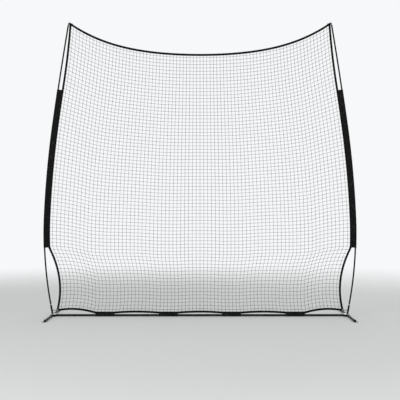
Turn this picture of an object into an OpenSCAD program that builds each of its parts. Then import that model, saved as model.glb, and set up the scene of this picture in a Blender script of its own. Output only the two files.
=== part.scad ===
// Free-standing ball-stop net: a base bar on four folding legs, two bowed poles and a bordered net.
// Sizes are in millimetres. X runs across the net, Y from front to back and Z up.
// The origin is on the ground, midway between the two feet and between the front and back legs.

/* [Base bar] */
// Distance between the two pole sockets, measured on top of the foot brackets
socket_spacing = 3496; // [3300:10:3800]
// Outer diameter of the base tubes and the legs
tube_d = 25; // [22:1:30]
// Wall of the base tubes and the legs
tube_wall = 1.5; // [1:0.1:2]
// Length of the middle base tube
centre_tube_len = 1160; // [1100:10:1240]
// Length of the spigot that joins two base tubes
spigot_len = 180; // [160:5:200]
// Clearance of a push fit, on the radius
fit_gap = 0.2; // [0.1:0.05:0.3]

/* [Snap buttons] */
// Diameter of the button
button_d = 8; // [6:0.5:9]
// Height of the button above the tube
button_proud = 3.5; // [2.5:0.5:4]
// Distance from the tube joint to the button
button_from_joint = 45; // [35:1:60]
// Thickness of the strip that the button's spring is bent from
spring_t = 0.7; // [0.5:0.1:1]
// Length of the bent spring
spring_len = 60; // [50:1:70]
// Diameter of the blind rivets that fix the spigots in the base tubes
blind_rivet_d = 4.8; // [4:0.4:5.6]
// Distance from the end of the middle tube to its blind rivet
blind_rivet_in = 60; // [50:1:65]

/* [Foot brackets] */
// Thickness of the bracket's sheet steel
plate_t = 2.5; // [2:0.5:4]
// Reach of the bracket's plates from a leg's pivot to the front and the back
plate_past_pivot = 26; // [20:1:35]
// Reach of the bracket's plates inwards from the pivots
plate_in = 45; // [35:1:60]
// Reach of the bracket's spigot inwards from the pivots
bracket_spigot_in = 110; // [100:5:140]

/* [Legs] */
// Length of a leg from its pivot to the end of its tube
leg_len = 530; // [400:10:600]
// Length of a leg's tube behind its pivot
leg_back = 10; // [8:0.5:13]
// Gap between a leg and the plates above and below it
leg_gap = 0.5; // [0.3:0.1:1]
// Gap between a leg that turns and the base tube
turn_gap = 5.5; // [3:0.5:10]
// Diameter of a leg's pivot rivet
pivot_rivet_d = 8; // [6:0.5:9]
// Clearance between a leg and its pivot rivet, on the radius
pivot_gap = 0.08; // [0.05:0.01:0.1]
// Length of the plastic plug in a leg's pivot end
plug_len = 35; // [25:1:50]
// Length of leg inside its foot
foot_hold = 30; // [26:1:45]
// Thickness of the foot's closed end
foot_end = 4; // [3:0.5:6]
// Thickness of the foot's peg tab
tab_t = 5; // [4:0.5:7]
// Width of the foot's peg tab
tab_w = 24; // [20:1:28]
// Distance from the middle of the leg to the peg hole
peg_out = 26; // [24:0.5:34]
// Diameter of the peg hole
peg_hole_d = 11; // [8:0.5:12]

/* [Poles] */
// Outer diameter of a pole
pole_d = 18; // [14:0.5:19]
// Bore of a pole
pole_bore_d = 10; // [8:0.5:11]
// Length of each of a pole's three sections
section_len = 1150; // [1120:5:1200]
// Outward lean of the pole in its socket, in degrees
pole_lean = 10.5; // [9:0.5:12]
// Straight length of the pole's metal foot
lead_len = 112; // [108:1:150]
// Turn of the lower section's bow, in degrees
lower_turn = 13; // [11:0.5:14]
// Turn of the middle section's bow, in degrees
middle_turn = 5.5; // [4:0.5:7]
// Turn of the upper section's bow, in degrees
upper_turn = 1.5; // [1:0.5:3]
// Length of the pole socket along the pole
socket_len = 105; // [95:1:115]
// Wall of the pole socket
socket_wall = 2; // [1.5:0.1:3]
// Length of the ferrule at each pole joint
ferrule_len = 90; // [60:5:120]
// Wall of the ferrule
ferrule_wall = 1.2; // [0.8:0.1:1.6]
// Depth of the metal foot's spigot and of the tip pin in the pole's bore
pole_plug_len = 30; // [20:1:50]
// Thickness of the tip pin's collar
collar_t = 3; // [2:0.5:5]
// Diameter of the tip pin above its collar
pin_d = 6; // [5:0.5:7]
// Height of the tip pin above its collar
pin_len = 42; // [34:1:55]
// Diameter of the shock cord inside the pole
shock_cord_d = 4; // [3:0.5:5]

/* [Net border] */
// Width of the border webbing
border_w = 25; // [20:1:28]
// Thickness of the border webbing, folded round the edge of the net
border_t = 3; // [2:0.2:4]
// Sag of the top border at the middle of the net
top_sag = 365; // [250:5:450]
// Share of the top border's sag that follows an even curve, the rest lying close to the corners
top_even = 0.57; // [0.4:0.01:0.8]
// Sag of the side border between the sleeve and the top corner
upper_side_sag = 9; // [0:1:15]
// Sag of the side border between the sleeve and the bottom corner
lower_side_sag = 72; // [40:1:85]
// Rise of the bottom border between the corner and the outer pocket
outer_rise = 28; // [10:1:40]
// Rise of the bottom border between two pockets
pocket_rise = 12; // [5:1:25]
// Distance inwards from the pole socket to the net's bottom corner
corner_in = 58; // [54:1:66]
// Height of the net's bottom corner
corner_up = 74; // [68:1:80]

/* [Pole sleeves] */
// Distance along the pole from its foot to the sleeve
sleeve_start = 790; // [780:5:840]
// Length of the sleeve along the pole
sleeve_len = 1885; // [1750:5:1950]
// Distance from the middle of the pole to the middle of the border
sleeve_in = 55; // [45:0.5:65]
// Thickness of the sleeve's and the pockets' cloth
cloth_t = 1.2; // [0.8:0.1:1.8]

/* [Base pockets] */
// Length of a pocket along the base bar
pocket_len = 225; // [180:5:260]
// Distance between two pockets, middle to middle
pocket_spacing = 752; // [730:2:770]
// Height of the border above the base bar at a pocket
pocket_neck = 4.5; // [3.5:0.5:10]
// Height of the border that a pocket's flaps cover
flap_hold = 19; // [12:1:20]

/* [Net] */
// Number of gaps across the net
gaps_across = 17; // [8:1:17]
// Number of gaps up the net
gaps_up = 17; // [8:1:17]
// Width of a strand
strand_w = 4; // [2:0.5:6]
// Thickness of a strand
strand_t = 3; // [2:0.5:3]

/* [Corner fittings] */
// Height of the webbing loop on the tip pin
loop_h = 20; // [14:1:28]
// Thickness of the loop's webbing
loop_t = 2; // [1.4:0.2:2.4]
// Distance from the tip pin to the net's top corner
loop_reach = 24; // [22:1:34]
// Length of the loop's two ends past the net's top corner
loop_hold = 26; // [15:1:35]
// Radius of the bottom corner's patch round its eyelet
patch_r = 12; // [11:0.5:14]
// Thickness of the patch
patch_t = 1; // [0.6:0.1:1.2]
// Bore of the eyelet
eyelet_bore_d = 9; // [8.5:0.5:10]
// Outer diameter of the eyelet's rims
eyelet_rim_d = 18; // [15:0.5:20]
// Thickness of the eyelet's barrel and rims
eyelet_t = 0.8; // [0.5:0.1:1]
// Diameter of the elastic loop's cord
elastic_d = 5; // [4:0.5:5]
// Distance from the middle of the elastic loop to its cord
elastic_half_w = 8; // [7.8:0.1:9]
// Diameter of the rod that the net hook is bent from
hook_d = 5; // [4:0.5:5.5]
// Distance from the pole socket to the net hook's upright
hook_reach = 11; // [10.5:0.5:14]
// Length of the net hook's upright below its bend
hook_drop = 14; // [11:1:18]

/* [Hidden] */
$fn = 48;
bend_fn = 1440;

black = "#17181a";
zinc = "#b9bcc0";
plastic_black = "#0e0e0f";
webbing_black = "#101114";
left = -1;
right = 1;
front = -1;
back = 1;
part_gap = 0.3;   // gap between neighbours that are seated and don't move
close_gap = 0.05; // clearance of what is glued, riveted or pressed in place
cut = 1;          // how far a cutting shape runs past what it cuts

// Heights and places of the base
tube_r = tube_d / 2;
tube_in_r = tube_r - tube_wall;
spigot_r = tube_in_r - fit_gap;
spigot_in_r = spigot_r - tube_wall;
axis_h = plate_t + leg_gap + tube_r;
tube_top = axis_h + tube_r;
plate_top = tube_top + leg_gap + plate_t;
leg_corner_r = norm([tube_r, leg_back]);
pivot_x = socket_spacing / 2;
pivot_y = tube_r + turn_gap + leg_corner_r;
wall_x = pivot_x + leg_corner_r + leg_gap;
plate_half = pivot_y + plate_past_pivot;
joint_x = centre_tube_len / 2;

// The snap button, its flange under the spigot's wall and the room that its spring has
button_x = joint_x + button_from_joint;
button_r = button_d / 2;
button_hole_r = button_r + fit_gap;
flange_r = button_r + 1;
flange_t = 1;
flange_top = axis_h + sqrt(spigot_in_r ^ 2 - flange_r ^ 2) - fit_gap;
button_top = tube_top + button_proud;
button_dome_h = 2;
spring_w = 8;
spring_low = axis_h - sqrt(spigot_in_r ^ 2 - (spring_w / 2) ^ 2) + close_gap;
spring_high = flange_top - flange_t - close_gap;

// Rivets
blind_head_r = blind_rivet_d * 0.95;
blind_head_h = 1.6;
blind_tail_r = blind_rivet_d * 0.7;
blind_tail_h = 3;
bracket_rivet_in = (plate_in + bracket_spigot_in) / 2;
pivot_rivet_r = pivot_rivet_d / 2;
pivot_head_r = pivot_rivet_r + 3;
pivot_head_h = 3;
countersink_r = pivot_rivet_r + 1.6;

// The pole's axis: length and inward turn of each stretch, from the foot up
pole_r = pole_d / 2;
pole_bore_r = pole_bore_d / 2;
socket_r = pole_r + fit_gap + socket_wall;
pole_start = pole_r * tan(pole_lean) + part_gap;
pole_end = 3 * section_len;
stretches = [
    [lead_len, 0],
    [section_len - lead_len, lower_turn],
    [section_len, middle_turn],
    [section_len, upper_turn],
    [2 * pin_len, 0]
];
last_stretch = len(stretches) - 1;
function length_below(i) = i == 0 ? 0 : length_below(i - 1) + stretches[i - 1][0];
function turn_below(i) = i == 0 ? 0 : turn_below(i - 1) + stretches[i - 1][1];
function along(lean) = [sin(lean), cos(lean)];
function outward(lean) = [cos(lean), -sin(lean)];
function bend_r(length, turn) = length / (turn * PI / 180);
function after(p, lean, length, turn) = turn == 0
    ? p + length * along(lean)
    : p + bend_r(length, turn) * (outward(lean - turn) - outward(lean));
function foot_of(i) = i == 0
    ? [pivot_x, plate_top]
    : after(foot_of(i - 1), pole_lean - turn_below(i - 1), stretches[i - 1][0], stretches[i - 1][1]);
stretch_s = [for (i = [0 : last_stretch + 1]) length_below(i)];
stretch_foot = [for (i = [0 : last_stretch]) foot_of(i)];
stretch_lean = [for (i = [0 : last_stretch]) pole_lean - turn_below(i)];
function stretch_at(s, i = 0) = i == last_stretch || s < stretch_s[i + 1] ? i : stretch_at(s, i + 1);
function turn_part(i, length) = stretches[i][1] * length / stretches[i][0];
function lean_at(s) = let (i = stretch_at(s)) stretch_lean[i] - turn_part(i, s - stretch_s[i]);
function pole_at(s) = let (i = stretch_at(s), length = s - stretch_s[i])
    after(stretch_foot[i], stretch_lean[i], length, turn_part(i, length));
function beside_pole(s, distance) = pole_at(s) + distance * outward(lean_at(s));

// The pole's sleeve and the ferrules inside it
ferrule_in_r = pole_r + part_gap; // straight, on a pole that bends a little
ferrule_r = ferrule_in_r + ferrule_wall;
sleeve_in_r = ferrule_r + part_gap;
sleeve_r = sleeve_in_r + cloth_t;
sleeve_end = sleeve_start + sleeve_len;
seam_in = sleeve_in - border_w / 2 - part_gap; // from the pole's axis to the sleeve's closed edge
seam_room = 0.4;                               // half of the room between the layers at that edge
drop_steps = 16;                               // sides of the sleeve's arc round the pole
sleeve_rings = 28;                             // steps of the sleeve along the pole

// The tip pin and the loop on it
pin_r = pin_d / 2;
loop_in_r = pin_r + part_gap;
loop_r = loop_in_r + loop_t;
loop_s = pole_end + collar_t + part_gap + loop_h / 2;

// The net's edge line, the middle of its border, counted round from the bottom left corner
edge_steps = 3; // points of the edge line for each gap
across_steps = gaps_across * edge_steps;
side_steps = gaps_up * edge_steps;
edge_count = 2 * (across_steps + side_steps);
bottom_corner = [pivot_x - corner_in, corner_up];
top_corner = beside_pole(loop_s, -loop_reach);
sleeve_foot = beside_pole(sleeve_start, -sleeve_in);
sleeve_head = beside_pole(sleeve_end, -sleeve_in);
lower_side_len = norm(sleeve_foot - bottom_corner);
upper_side_len = norm(top_corner - sleeve_head);
side_len = lower_side_len + sleeve_len + upper_side_len;
pocket_border_h = tube_top + pocket_neck + border_w / 2;
outer_pocket_end = 1.5 * pocket_spacing + pocket_len / 2;
function bulge(t) = 4 * t * (1 - t);
function bowed(from, to, sag, t) = from + (to - from) * t - [sag * bulge(t), 0];
function side_at(length) = length < lower_side_len
    ? bowed(bottom_corner, sleeve_foot, lower_side_sag, length / lower_side_len)
    : length < lower_side_len + sleeve_len
    ? beside_pole(sleeve_start + length - lower_side_len, -sleeve_in)
    : bowed(top_corner, sleeve_head, upper_side_sag, (side_len - length) / upper_side_len);
function from_pocket(x) = abs(x % pocket_spacing - pocket_spacing / 2) - pocket_len / 2;
function inner_height(x) = from_pocket(x) <= 0
    ? pocket_border_h
    : pocket_border_h + pocket_rise * bulge(from_pocket(x) / (pocket_spacing - pocket_len));
function outer_height(t) = pocket_border_h + (corner_up - pocket_border_h) * t + outer_rise * bulge(t);
function bottom_height(x) = x < outer_pocket_end
    ? inner_height(x)
    : outer_height((x - outer_pocket_end) / (bottom_corner.x - outer_pocket_end));
function top_drop(t) = top_sag * (top_even * (1 - t ^ 2) + (1 - top_even) * (1 - t ^ 4));
function mirrored(p) = [-p.x, p.y];
bottom_line = [for (i = [0 : across_steps])
    let (x = (2 * i / across_steps - 1) * bottom_corner.x) [x, bottom_height(abs(x))]];
right_line = [for (i = [0 : side_steps]) i == side_steps ? top_corner : side_at(side_len * i / side_steps)];
top_line = [for (i = [0 : across_steps])
    let (t = 2 * i / across_steps - 1) [t * top_corner.x, top_corner.y - top_drop(t)]];
edge_line = [
    for (i = [0 : across_steps - 1]) bottom_line[i],
    for (i = [0 : side_steps - 1]) right_line[i],
    for (i = [across_steps : -1 : 1]) top_line[i],
    for (i = [side_steps : -1 : 1]) mirrored(right_line[i])
];

// A closed line moved outwards by a distance, square to each of its sides
function square_out(v) = [v.y, -v.x] / norm(v);
function grown(line, distance) = let (n = len(line)) [for (i = [0 : n - 1])
    let (a = square_out(line[i] - line[(i + n - 1) % n]), b = square_out(line[(i + 1) % n] - line[i]))
    line[i] + distance * (a + b) / (1 + a * b)];
border_out = grown(edge_line, border_w / 2);
border_in = grown(edge_line, -border_w / 2);
net_out = grown(edge_line, -border_w / 2 - part_gap);
net_line = grown(edge_line, -border_w / 2 - part_gap - strand_w / 2);

// A point of the net, stretched evenly between its four edges
function bottom_edge(i) = net_line[i];
function right_edge(j) = net_line[across_steps + j];
function top_edge(i) = net_line[2 * across_steps + side_steps - i];
function left_edge(j) = net_line[(edge_count - j) % edge_count];
function net_at(i, j) = let (u = i / across_steps, v = j / side_steps)
    (1 - v) * bottom_edge(i) + v * top_edge(i) + (1 - u) * left_edge(j) + u * right_edge(j)
    - (1 - u) * (1 - v) * bottom_edge(0) - u * (1 - v) * bottom_edge(across_steps)
    - (1 - u) * v * top_edge(0) - u * v * top_edge(across_steps);
// The corners of a gap, with more points along the net's own edge
function side_points(from, to, on_edge) = let (step = on_edge ? (to - from) / edge_steps : to - from)
    [for (k = [from : step : to - step / 2]) k];
function gap_outline(a, b) =
    let (i0 = a * edge_steps, i1 = i0 + edge_steps, j0 = b * edge_steps, j1 = j0 + edge_steps)
    grown([
        for (i = side_points(i0, i1, b == 0)) net_at(i, j0),
        for (j = side_points(j0, j1, a == gaps_across - 1)) net_at(i1, j),
        for (i = side_points(i1, i0, b == gaps_up - 1)) net_at(i, j1),
        for (j = side_points(j1, j0, a == 0)) net_at(i0, j)
    ], -strand_w / 2);

// The eyelet, the hook and the elastic loop between them, at one height
patch_face = border_t / 2 + patch_t;
rim_face = patch_face + eyelet_t;
eyelet_bore_r = eyelet_bore_d / 2;
eyelet_barrel_r = eyelet_bore_r + eyelet_t;
elastic_r = elastic_d / 2;
hook_r = hook_d / 2;
hook_bend_r = hook_r + 2.5;
hook_h = corner_up + elastic_r + part_gap + hook_bend_r;
hook_face = pivot_x + (hook_h - plate_top) * tan(pole_lean) - socket_r / cos(pole_lean);
hook_x = hook_face - hook_reach;
rim_room = sqrt((elastic_half_w - elastic_r - part_gap) ^ 2 - rim_face ^ 2);
elastic_start = bottom_corner.x + eyelet_bore_r + rim_room;
elastic_stop = hook_x + hook_r + part_gap + elastic_r - elastic_half_w;

module sided(side) {
    if (side == left) mirror([1, 0, 0]) children();
    else children();
}

module both_sides() {
    for (side = [left, right]) sided(side) children();
}

module ring(outer, inner) {
    difference() {
        circle(r = outer, $fn = 48);
        circle(r = inner, $fn = 48);
    }
}

// A tube or a rod along X
module bar_x(from, to, outer, inner) {
    translate([from, 0, axis_h]) rotate([0, 90, 0]) linear_extrude(to - from) ring(outer, inner);
}

// A round rod bent about Z
module bent_rod(start, angle, bend, r) {
    rotate_extrude(angle = angle, start = start, $fn = 96) translate([bend, 0]) circle(r = r, $fn = 48);
}

// A low dome that stands on the XY plane
module dome(r, h) {
    ball_r = (r ^ 2 + h ^ 2) / (2 * h);
    intersection() {
        translate([0, 0, h - ball_r]) sphere(r = ball_r);
        cylinder(r = r, h = h + cut);
    }
}

// A flat shape drawn in X and Z, made thick in Y about the net's middle plane
module upright(thickness) {
    rotate([90, 0, 0]) linear_extrude(thickness, center = true) children();
}

// A profile carried along the right pole's axis
module along_pole(from, to) {
    for (i = [0 : last_stretch]) {
        a = max(from, stretch_s[i]);
        b = min(to, stretch_s[i + 1]);
        if (b > a) {
            foot = pole_at(a);
            lean = stretch_lean[i] - turn_part(i, a - stretch_s[i]);
            turn = turn_part(i, b - a);
            if (turn == 0) {
                translate([foot.x, 0, foot.y]) rotate([0, lean, 0]) linear_extrude(b - a) children();
            } else {
                r = bend_r(b - a, turn);
                centre = foot - r * outward(lean);
                translate([centre.x, 0, centre.y]) rotate([90, 0, 0]) rotate([0, 0, -lean])
                    rotate_extrude(angle = turn, $fn = bend_fn) translate([r, 0]) children();
            }
        }
    }
}

// A frame that stands on the right pole's axis, its Z along the pole
module at_pole(s) {
    foot = pole_at(s);
    translate([foot.x, 0, foot.y]) rotate([0, lean_at(s), 0]) children();
}

// A frame at a leg's pivot, its X outwards and its Y along the leg
module at_pivot(side, end) {
    sided(side) {
        if (end == front) mirror([0, 1, 0]) translate([pivot_x, pivot_y, 0]) children();
        else translate([pivot_x, pivot_y, 0]) children();
    }
}

module button_hole() {
    translate([button_x, 0, axis_h]) cylinder(r = button_hole_r, h = tube_r + cut);
}

module blind_rivet_hole(x) {
    translate([x, 0, axis_h]) rotate([-90, 0, 0])
        cylinder(r = blind_rivet_d / 2 + close_gap, h = tube_r + cut);
}

module base_tube_centre() {
    color(black) difference() {
        bar_x(-joint_x, joint_x, tube_r, tube_in_r);
        both_sides() blind_rivet_hole(joint_x - blind_rivet_in);
    }
}

module base_tube(side) {
    color(black) sided(side) difference() {
        bar_x(joint_x + part_gap, wall_x - part_gap, tube_r, tube_in_r);
        button_hole();
        blind_rivet_hole(pivot_x - bracket_rivet_in);
    }
}

module tube_spigot(side) {
    color(zinc) sided(side) difference() {
        bar_x(joint_x - spigot_len / 2, joint_x + spigot_len / 2, spigot_r, spigot_in_r);
        button_hole();
        blind_rivet_hole(joint_x - blind_rivet_in);
    }
}

module blind_rivet(x) {
    tail_low = sqrt(spigot_in_r ^ 2 - blind_tail_r ^ 2) - close_gap - blind_tail_h;
    translate([x, 0, axis_h]) rotate([-90, 0, 0]) {
        translate([0, 0, tail_low]) cylinder(r = blind_tail_r, h = blind_tail_h);
        translate([0, 0, tail_low]) cylinder(d = blind_rivet_d, h = tube_r - tail_low);
        translate([0, 0, tube_r]) dome(blind_head_r, blind_head_h);
    }
}

module blind_rivets() {
    color(zinc) both_sides() {
        blind_rivet(joint_x - blind_rivet_in);
        blind_rivet(pivot_x - bracket_rivet_in);
    }
}

module snap_button(side) {
    flange_low = flange_top - flange_t;
    dome_low = button_top - button_dome_h;
    color(zinc) sided(side) translate([button_x, 0, 0]) {
        translate([0, 0, flange_low]) cylinder(r = flange_r, h = flange_t);
        translate([0, 0, flange_low]) cylinder(r = button_r, h = dome_low - flange_low);
        translate([0, 0, dome_low]) dome(button_r, button_dome_h);
    }
}

// A strip bent to a V, its upper arm flat under the button
module button_spring(side) {
    bend_x = button_x + flange_r - spring_len;
    arm_end = button_x + flange_r;
    landing = button_x - flange_r;
    color(zinc) sided(side) upright(spring_w) polygon([
        [bend_x, spring_low], [arm_end, spring_low], [arm_end, spring_low + spring_t],
        [bend_x + 3 * spring_t, spring_low + spring_t], [landing, spring_high - spring_t],
        [arm_end, spring_high - spring_t], [arm_end, spring_high], [landing, spring_high],
        [bend_x, spring_low + 2 * spring_t]
    ]);
}

// Two plates joined by an outer wall, with the spigot for the base tube on the wall
module foot_bracket(side) {
    rivet_hole_r = pivot_rivet_r + close_gap;
    color(zinc) sided(side) difference() {
        union() {
            for (z = [0, plate_top - plate_t]) {
                translate([pivot_x - plate_in, -plate_half, z])
                    cube([wall_x + plate_t - pivot_x + plate_in, 2 * plate_half, plate_t]);
            }
            translate([wall_x, -plate_half, 0]) cube([plate_t, 2 * plate_half, plate_top]);
            bar_x(pivot_x - bracket_spigot_in, wall_x + plate_t / 2, spigot_r, spigot_in_r);
        }
        for (y = [-pivot_y, pivot_y]) translate([pivot_x, y, 0]) {
            translate([0, 0, -cut]) cylinder(r = rivet_hole_r, h = plate_top + 2 * cut);
            cylinder(r1 = countersink_r + close_gap, r2 = rivet_hole_r, h = plate_t);
        }
        blind_rivet_hole(pivot_x - bracket_rivet_in);
    }
}

module socket_body() {
    difference() {
        at_pole(0) translate([0, 0, -socket_r]) cylinder(r = socket_r, h = socket_len + socket_r);
        translate([pivot_x - 2 * socket_r, -2 * socket_r, plate_top - 4 * socket_r]) cube(4 * socket_r);
    }
}

module pole_socket(side) {
    color(black) sided(side) difference() {
        socket_body();
        at_pole(0) translate([0, 0, -socket_r])
            cylinder(r = pole_r + fit_gap, h = socket_len + socket_r + cut);
    }
}

module net_hook(side) {
    color(zinc) sided(side) difference() {
        union() {
            translate([hook_x + hook_bend_r, 0, hook_h]) rotate([0, 90, 0])
                cylinder(r = hook_r, h = hook_reach);
            translate([hook_x + hook_bend_r, 0, hook_h - hook_bend_r]) rotate([90, 0, 0])
                bent_rod(90, 90, hook_bend_r, hook_r);
            translate([hook_x, 0, hook_h - hook_bend_r - hook_drop]) cylinder(r = hook_r, h = hook_drop);
            translate([hook_x, 0, hook_h - hook_bend_r - hook_drop]) sphere(r = hook_r);
        }
        at_pole(0) cylinder(r = socket_r, h = socket_len + cut);
    }
}

module pivot_rivets(side) {
    for (end = [front, back]) color(zinc) at_pivot(side, end) {
        cylinder(r1 = countersink_r, r2 = pivot_rivet_r, h = plate_t);
        cylinder(r = pivot_rivet_r, h = plate_top);
        translate([0, 0, plate_top]) dome(pivot_head_r, pivot_head_h);
    }
}

module leg_bar(from, to, outer) {
    translate([0, from, axis_h]) rotate([-90, 0, 0]) cylinder(r = outer, h = to - from);
}

module leg(side, end) {
    color(black) at_pivot(side, end) difference() {
        leg_bar(-leg_back, leg_len, tube_r);
        leg_bar(-leg_back - cut, leg_len + cut, tube_in_r);
        cylinder(r = pivot_rivet_r + pivot_gap, h = plate_top);
    }
}

module leg_plug(side, end) {
    color(plastic_black) at_pivot(side, end) difference() {
        leg_bar(-leg_back, plug_len - leg_back, tube_in_r - close_gap);
        cylinder(r = pivot_rivet_r + pivot_gap, h = plate_top);
    }
}

// A cap on the leg with a flat tab for a ground peg on its outer side
module foot(side, end) {
    tab_y = leg_len + foot_end - tab_w / 2;
    color(plastic_black) at_pivot(side, end) difference() {
        union() {
            leg_bar(leg_len - foot_hold, leg_len + foot_end, axis_h);
            translate([0, tab_y - tab_w / 2, 0]) cube([peg_out, tab_w, tab_t]);
            translate([peg_out, tab_y, 0]) cylinder(d = tab_w, h = tab_t);
        }
        leg_bar(leg_len - foot_hold - cut, leg_len + close_gap, tube_r + close_gap);
        translate([peg_out, tab_y, -cut]) cylinder(d = peg_hole_d, h = tab_t + 2 * cut);
    }
}

module pole_section(side, from, to) {
    color(black) sided(side) along_pole(from, to) ring(pole_r, pole_bore_r);
}

module pole_ferrules(side) {
    for (k = [1, 2]) {
        color(zinc) sided(side) at_pole(k * section_len) translate([0, 0, -ferrule_len / 2])
            linear_extrude(ferrule_len) ring(ferrule_r, ferrule_in_r);
    }
}

// The pole's straight metal foot, its spigot in the lower section's bore
module pole_foot(side) {
    color(zinc) sided(side) {
        at_pole(pole_start) cylinder(r = pole_r, h = lead_len - pole_start - close_gap);
        at_pole(pole_start) cylinder(r = pole_bore_r - close_gap, h = lead_len - pole_start + pole_plug_len);
    }
}

module tip_pin(side) {
    color(zinc) sided(side) at_pole(pole_end) {
        translate([0, 0, -pole_plug_len]) cylinder(r = pole_bore_r - close_gap, h = pole_plug_len);
        cylinder(r = pole_r, h = collar_t);
        cylinder(r = pin_r, h = collar_t + pin_len - pin_r);
        translate([0, 0, collar_t + pin_len - pin_r]) sphere(r = pin_r);
    }
}

module shock_cord(side) {
    cord_low = lead_len + pole_plug_len + close_gap;
    cord_high = pole_end - pole_plug_len - close_gap;
    color("#5b1f1f") for (k = [0 : 2]) {
        sided(side) along_pole(max(cord_low, k * section_len), min(cord_high, (k + 1) * section_len))
            circle(d = shock_cord_d, $fn = 48);
    }
}

// A closed tube whose outlines are carried along the right pole's axis, as one mesh of triangles
function ring_at(s, outline) = [for (p = outline) let (q = beside_pole(s, p.x)) [q.x, p.y, q.y]];
function quad(a, b, c, d) = [[a, b, c], [a, c, d]];
function wall_faces(n, steps) = [for (k = [0 : steps - 1], i = [0 : n - 1])
    let (a = k * n + i, b = k * n + (i + 1) % n) each quad(a, a + n, b + n, b)];
function turned_over(faces, first) = [for (f = faces) [f[2] + first, f[1] + first, f[0] + first]];
function end_faces(n, outer_first, inner_first) = [for (i = [0 : n - 1]) let (j = (i + 1) % n)
    each quad(outer_first + i, outer_first + j, inner_first + j, inner_first + i)];
module swept(from, to, steps, outer, inner) {
    n = len(outer);
    inner_first = n * (steps + 1);
    sections = [for (k = [0 : steps]) from + (to - from) * k / steps];
    points = concat(
        [for (s = sections) each ring_at(s, outer)],
        [for (s = sections) each ring_at(s, inner)]
    );
    faces = concat(
        wall_faces(n, steps),
        turned_over(wall_faces(n, steps), inner_first),
        end_faces(n, 0, inner_first),
        turned_over(end_faces(n, steps * n, inner_first + steps * n), 0)
    );
    polyhedron(points, faces);
}

// A drop-shaped outline: an arc round the pole, drawn in to a narrow edge on the net's side
function drop(r, edge_in, edge_half) = let (arc_end = 180 - acos((r - edge_half) / edge_in)) [
    for (k = [0 : drop_steps]) let (a = arc_end * (2 * k / drop_steps - 1)) r * [cos(a), sin(a)],
    [-edge_in, edge_half],
    [-edge_in, -edge_half]
];

module pole_sleeve(side) {
    color(webbing_black) sided(side) swept(
        sleeve_start, sleeve_end, sleeve_rings,
        drop(sleeve_r, seam_in, cloth_t + seam_room), drop(sleeve_in_r, seam_in - cloth_t, seam_room)
    );
}

module corner_holes(r) {
    both_sides() translate([bottom_corner.x, 0, bottom_corner.y]) rotate([90, 0, 0])
        cylinder(r = r, h = 2 * rim_face + 2 * cut, center = true);
}

// A run of the border between two corners, mitred at both
module border(first, count) {
    run = [for (i = [first : first + count]) i % edge_count];
    back_run = [for (k = [count : -1 : 0]) run[k]];
    color(webbing_black) difference() {
        upright(border_t) polygon(concat([for (i = run) border_out[i]], [for (i = back_run) border_in[i]]));
        corner_holes(eyelet_barrel_r + close_gap);
    }
}

module net() {
    gaps = [for (a = [0 : gaps_across - 1], b = [0 : gaps_up - 1]) gap_outline(a, b)];
    color(webbing_black) upright(strand_t) difference() {
        polygon(net_out);
        for (gap = gaps) polygon(gap);
    }
}

// Two pockets round the base bar, each with a flap on either face of the border
module base_pockets(side) {
    pocket_in_r = tube_r + part_gap;
    pocket_r = pocket_in_r + cloth_t;
    flap_low = axis_h + sqrt(pocket_in_r ^ 2 - (border_t / 2) ^ 2) + cloth_t / 4;
    flap_top = pocket_border_h - border_w / 2 + flap_hold;
    for (x = [pocket_spacing / 2, 1.5 * pocket_spacing]) {
        color(webbing_black) sided(side) translate([x - pocket_len / 2, 0, 0]) difference() {
            union() {
                translate([0, 0, axis_h]) rotate([0, 90, 0]) cylinder(r = pocket_r, h = pocket_len);
                for (y = [-border_t / 2 - cloth_t, border_t / 2]) {
                    translate([0, y, flap_low]) cube([pocket_len, cloth_t, flap_top - flap_low]);
                }
            }
            translate([-cut, 0, axis_h]) rotate([0, 90, 0])
                cylinder(r = pocket_in_r, h = pocket_len + 2 * cut);
        }
    }
}

// A webbing loop round the tip pin, its two ends on the faces of the net's top corner
module corner_loop(side) {
    color(webbing_black) sided(side) at_pole(loop_s) translate([0, 0, -loop_h / 2]) difference() {
        union() {
            cylinder(r = loop_r, h = loop_h);
            for (y = [-border_t / 2 - loop_t, border_t / 2]) {
                translate([-loop_reach - loop_hold, y, 0]) cube([loop_reach + loop_hold, loop_t, loop_h]);
            }
        }
        translate([0, 0, -cut]) cylinder(r = loop_in_r, h = loop_h + 2 * cut);
    }
}

module corner_patches() {
    color(webbing_black) difference() {
        both_sides() for (y = [-border_t / 2, patch_face]) {
            translate([bottom_corner.x, y, bottom_corner.y]) rotate([90, 0, 0])
                cylinder(r = patch_r, h = patch_t);
        }
        corner_holes(eyelet_barrel_r + close_gap);
    }
}

module eyelets() {
    color(zinc) difference() {
        both_sides() translate([bottom_corner.x, 0, bottom_corner.y]) rotate([90, 0, 0]) {
            cylinder(r = eyelet_barrel_r, h = 2 * rim_face, center = true);
            for (y = [-rim_face, patch_face]) translate([0, 0, y]) cylinder(d = eyelet_rim_d, h = eyelet_t);
        }
        corner_holes(eyelet_bore_r);
    }
}

module elastic_loop(side) {
    color(plastic_black) sided(side) translate([0, 0, corner_up]) {
        for (y = [-elastic_half_w, elastic_half_w]) {
            translate([elastic_start, y, 0]) rotate([0, 90, 0])
                cylinder(r = elastic_r, h = elastic_stop - elastic_start);
        }
        translate([elastic_start, 0, 0]) bent_rod(90, 180, elastic_half_w, elastic_r);
        translate([elastic_stop, 0, 0]) bent_rod(-90, 180, elastic_half_w, elastic_r);
    }
}

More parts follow.
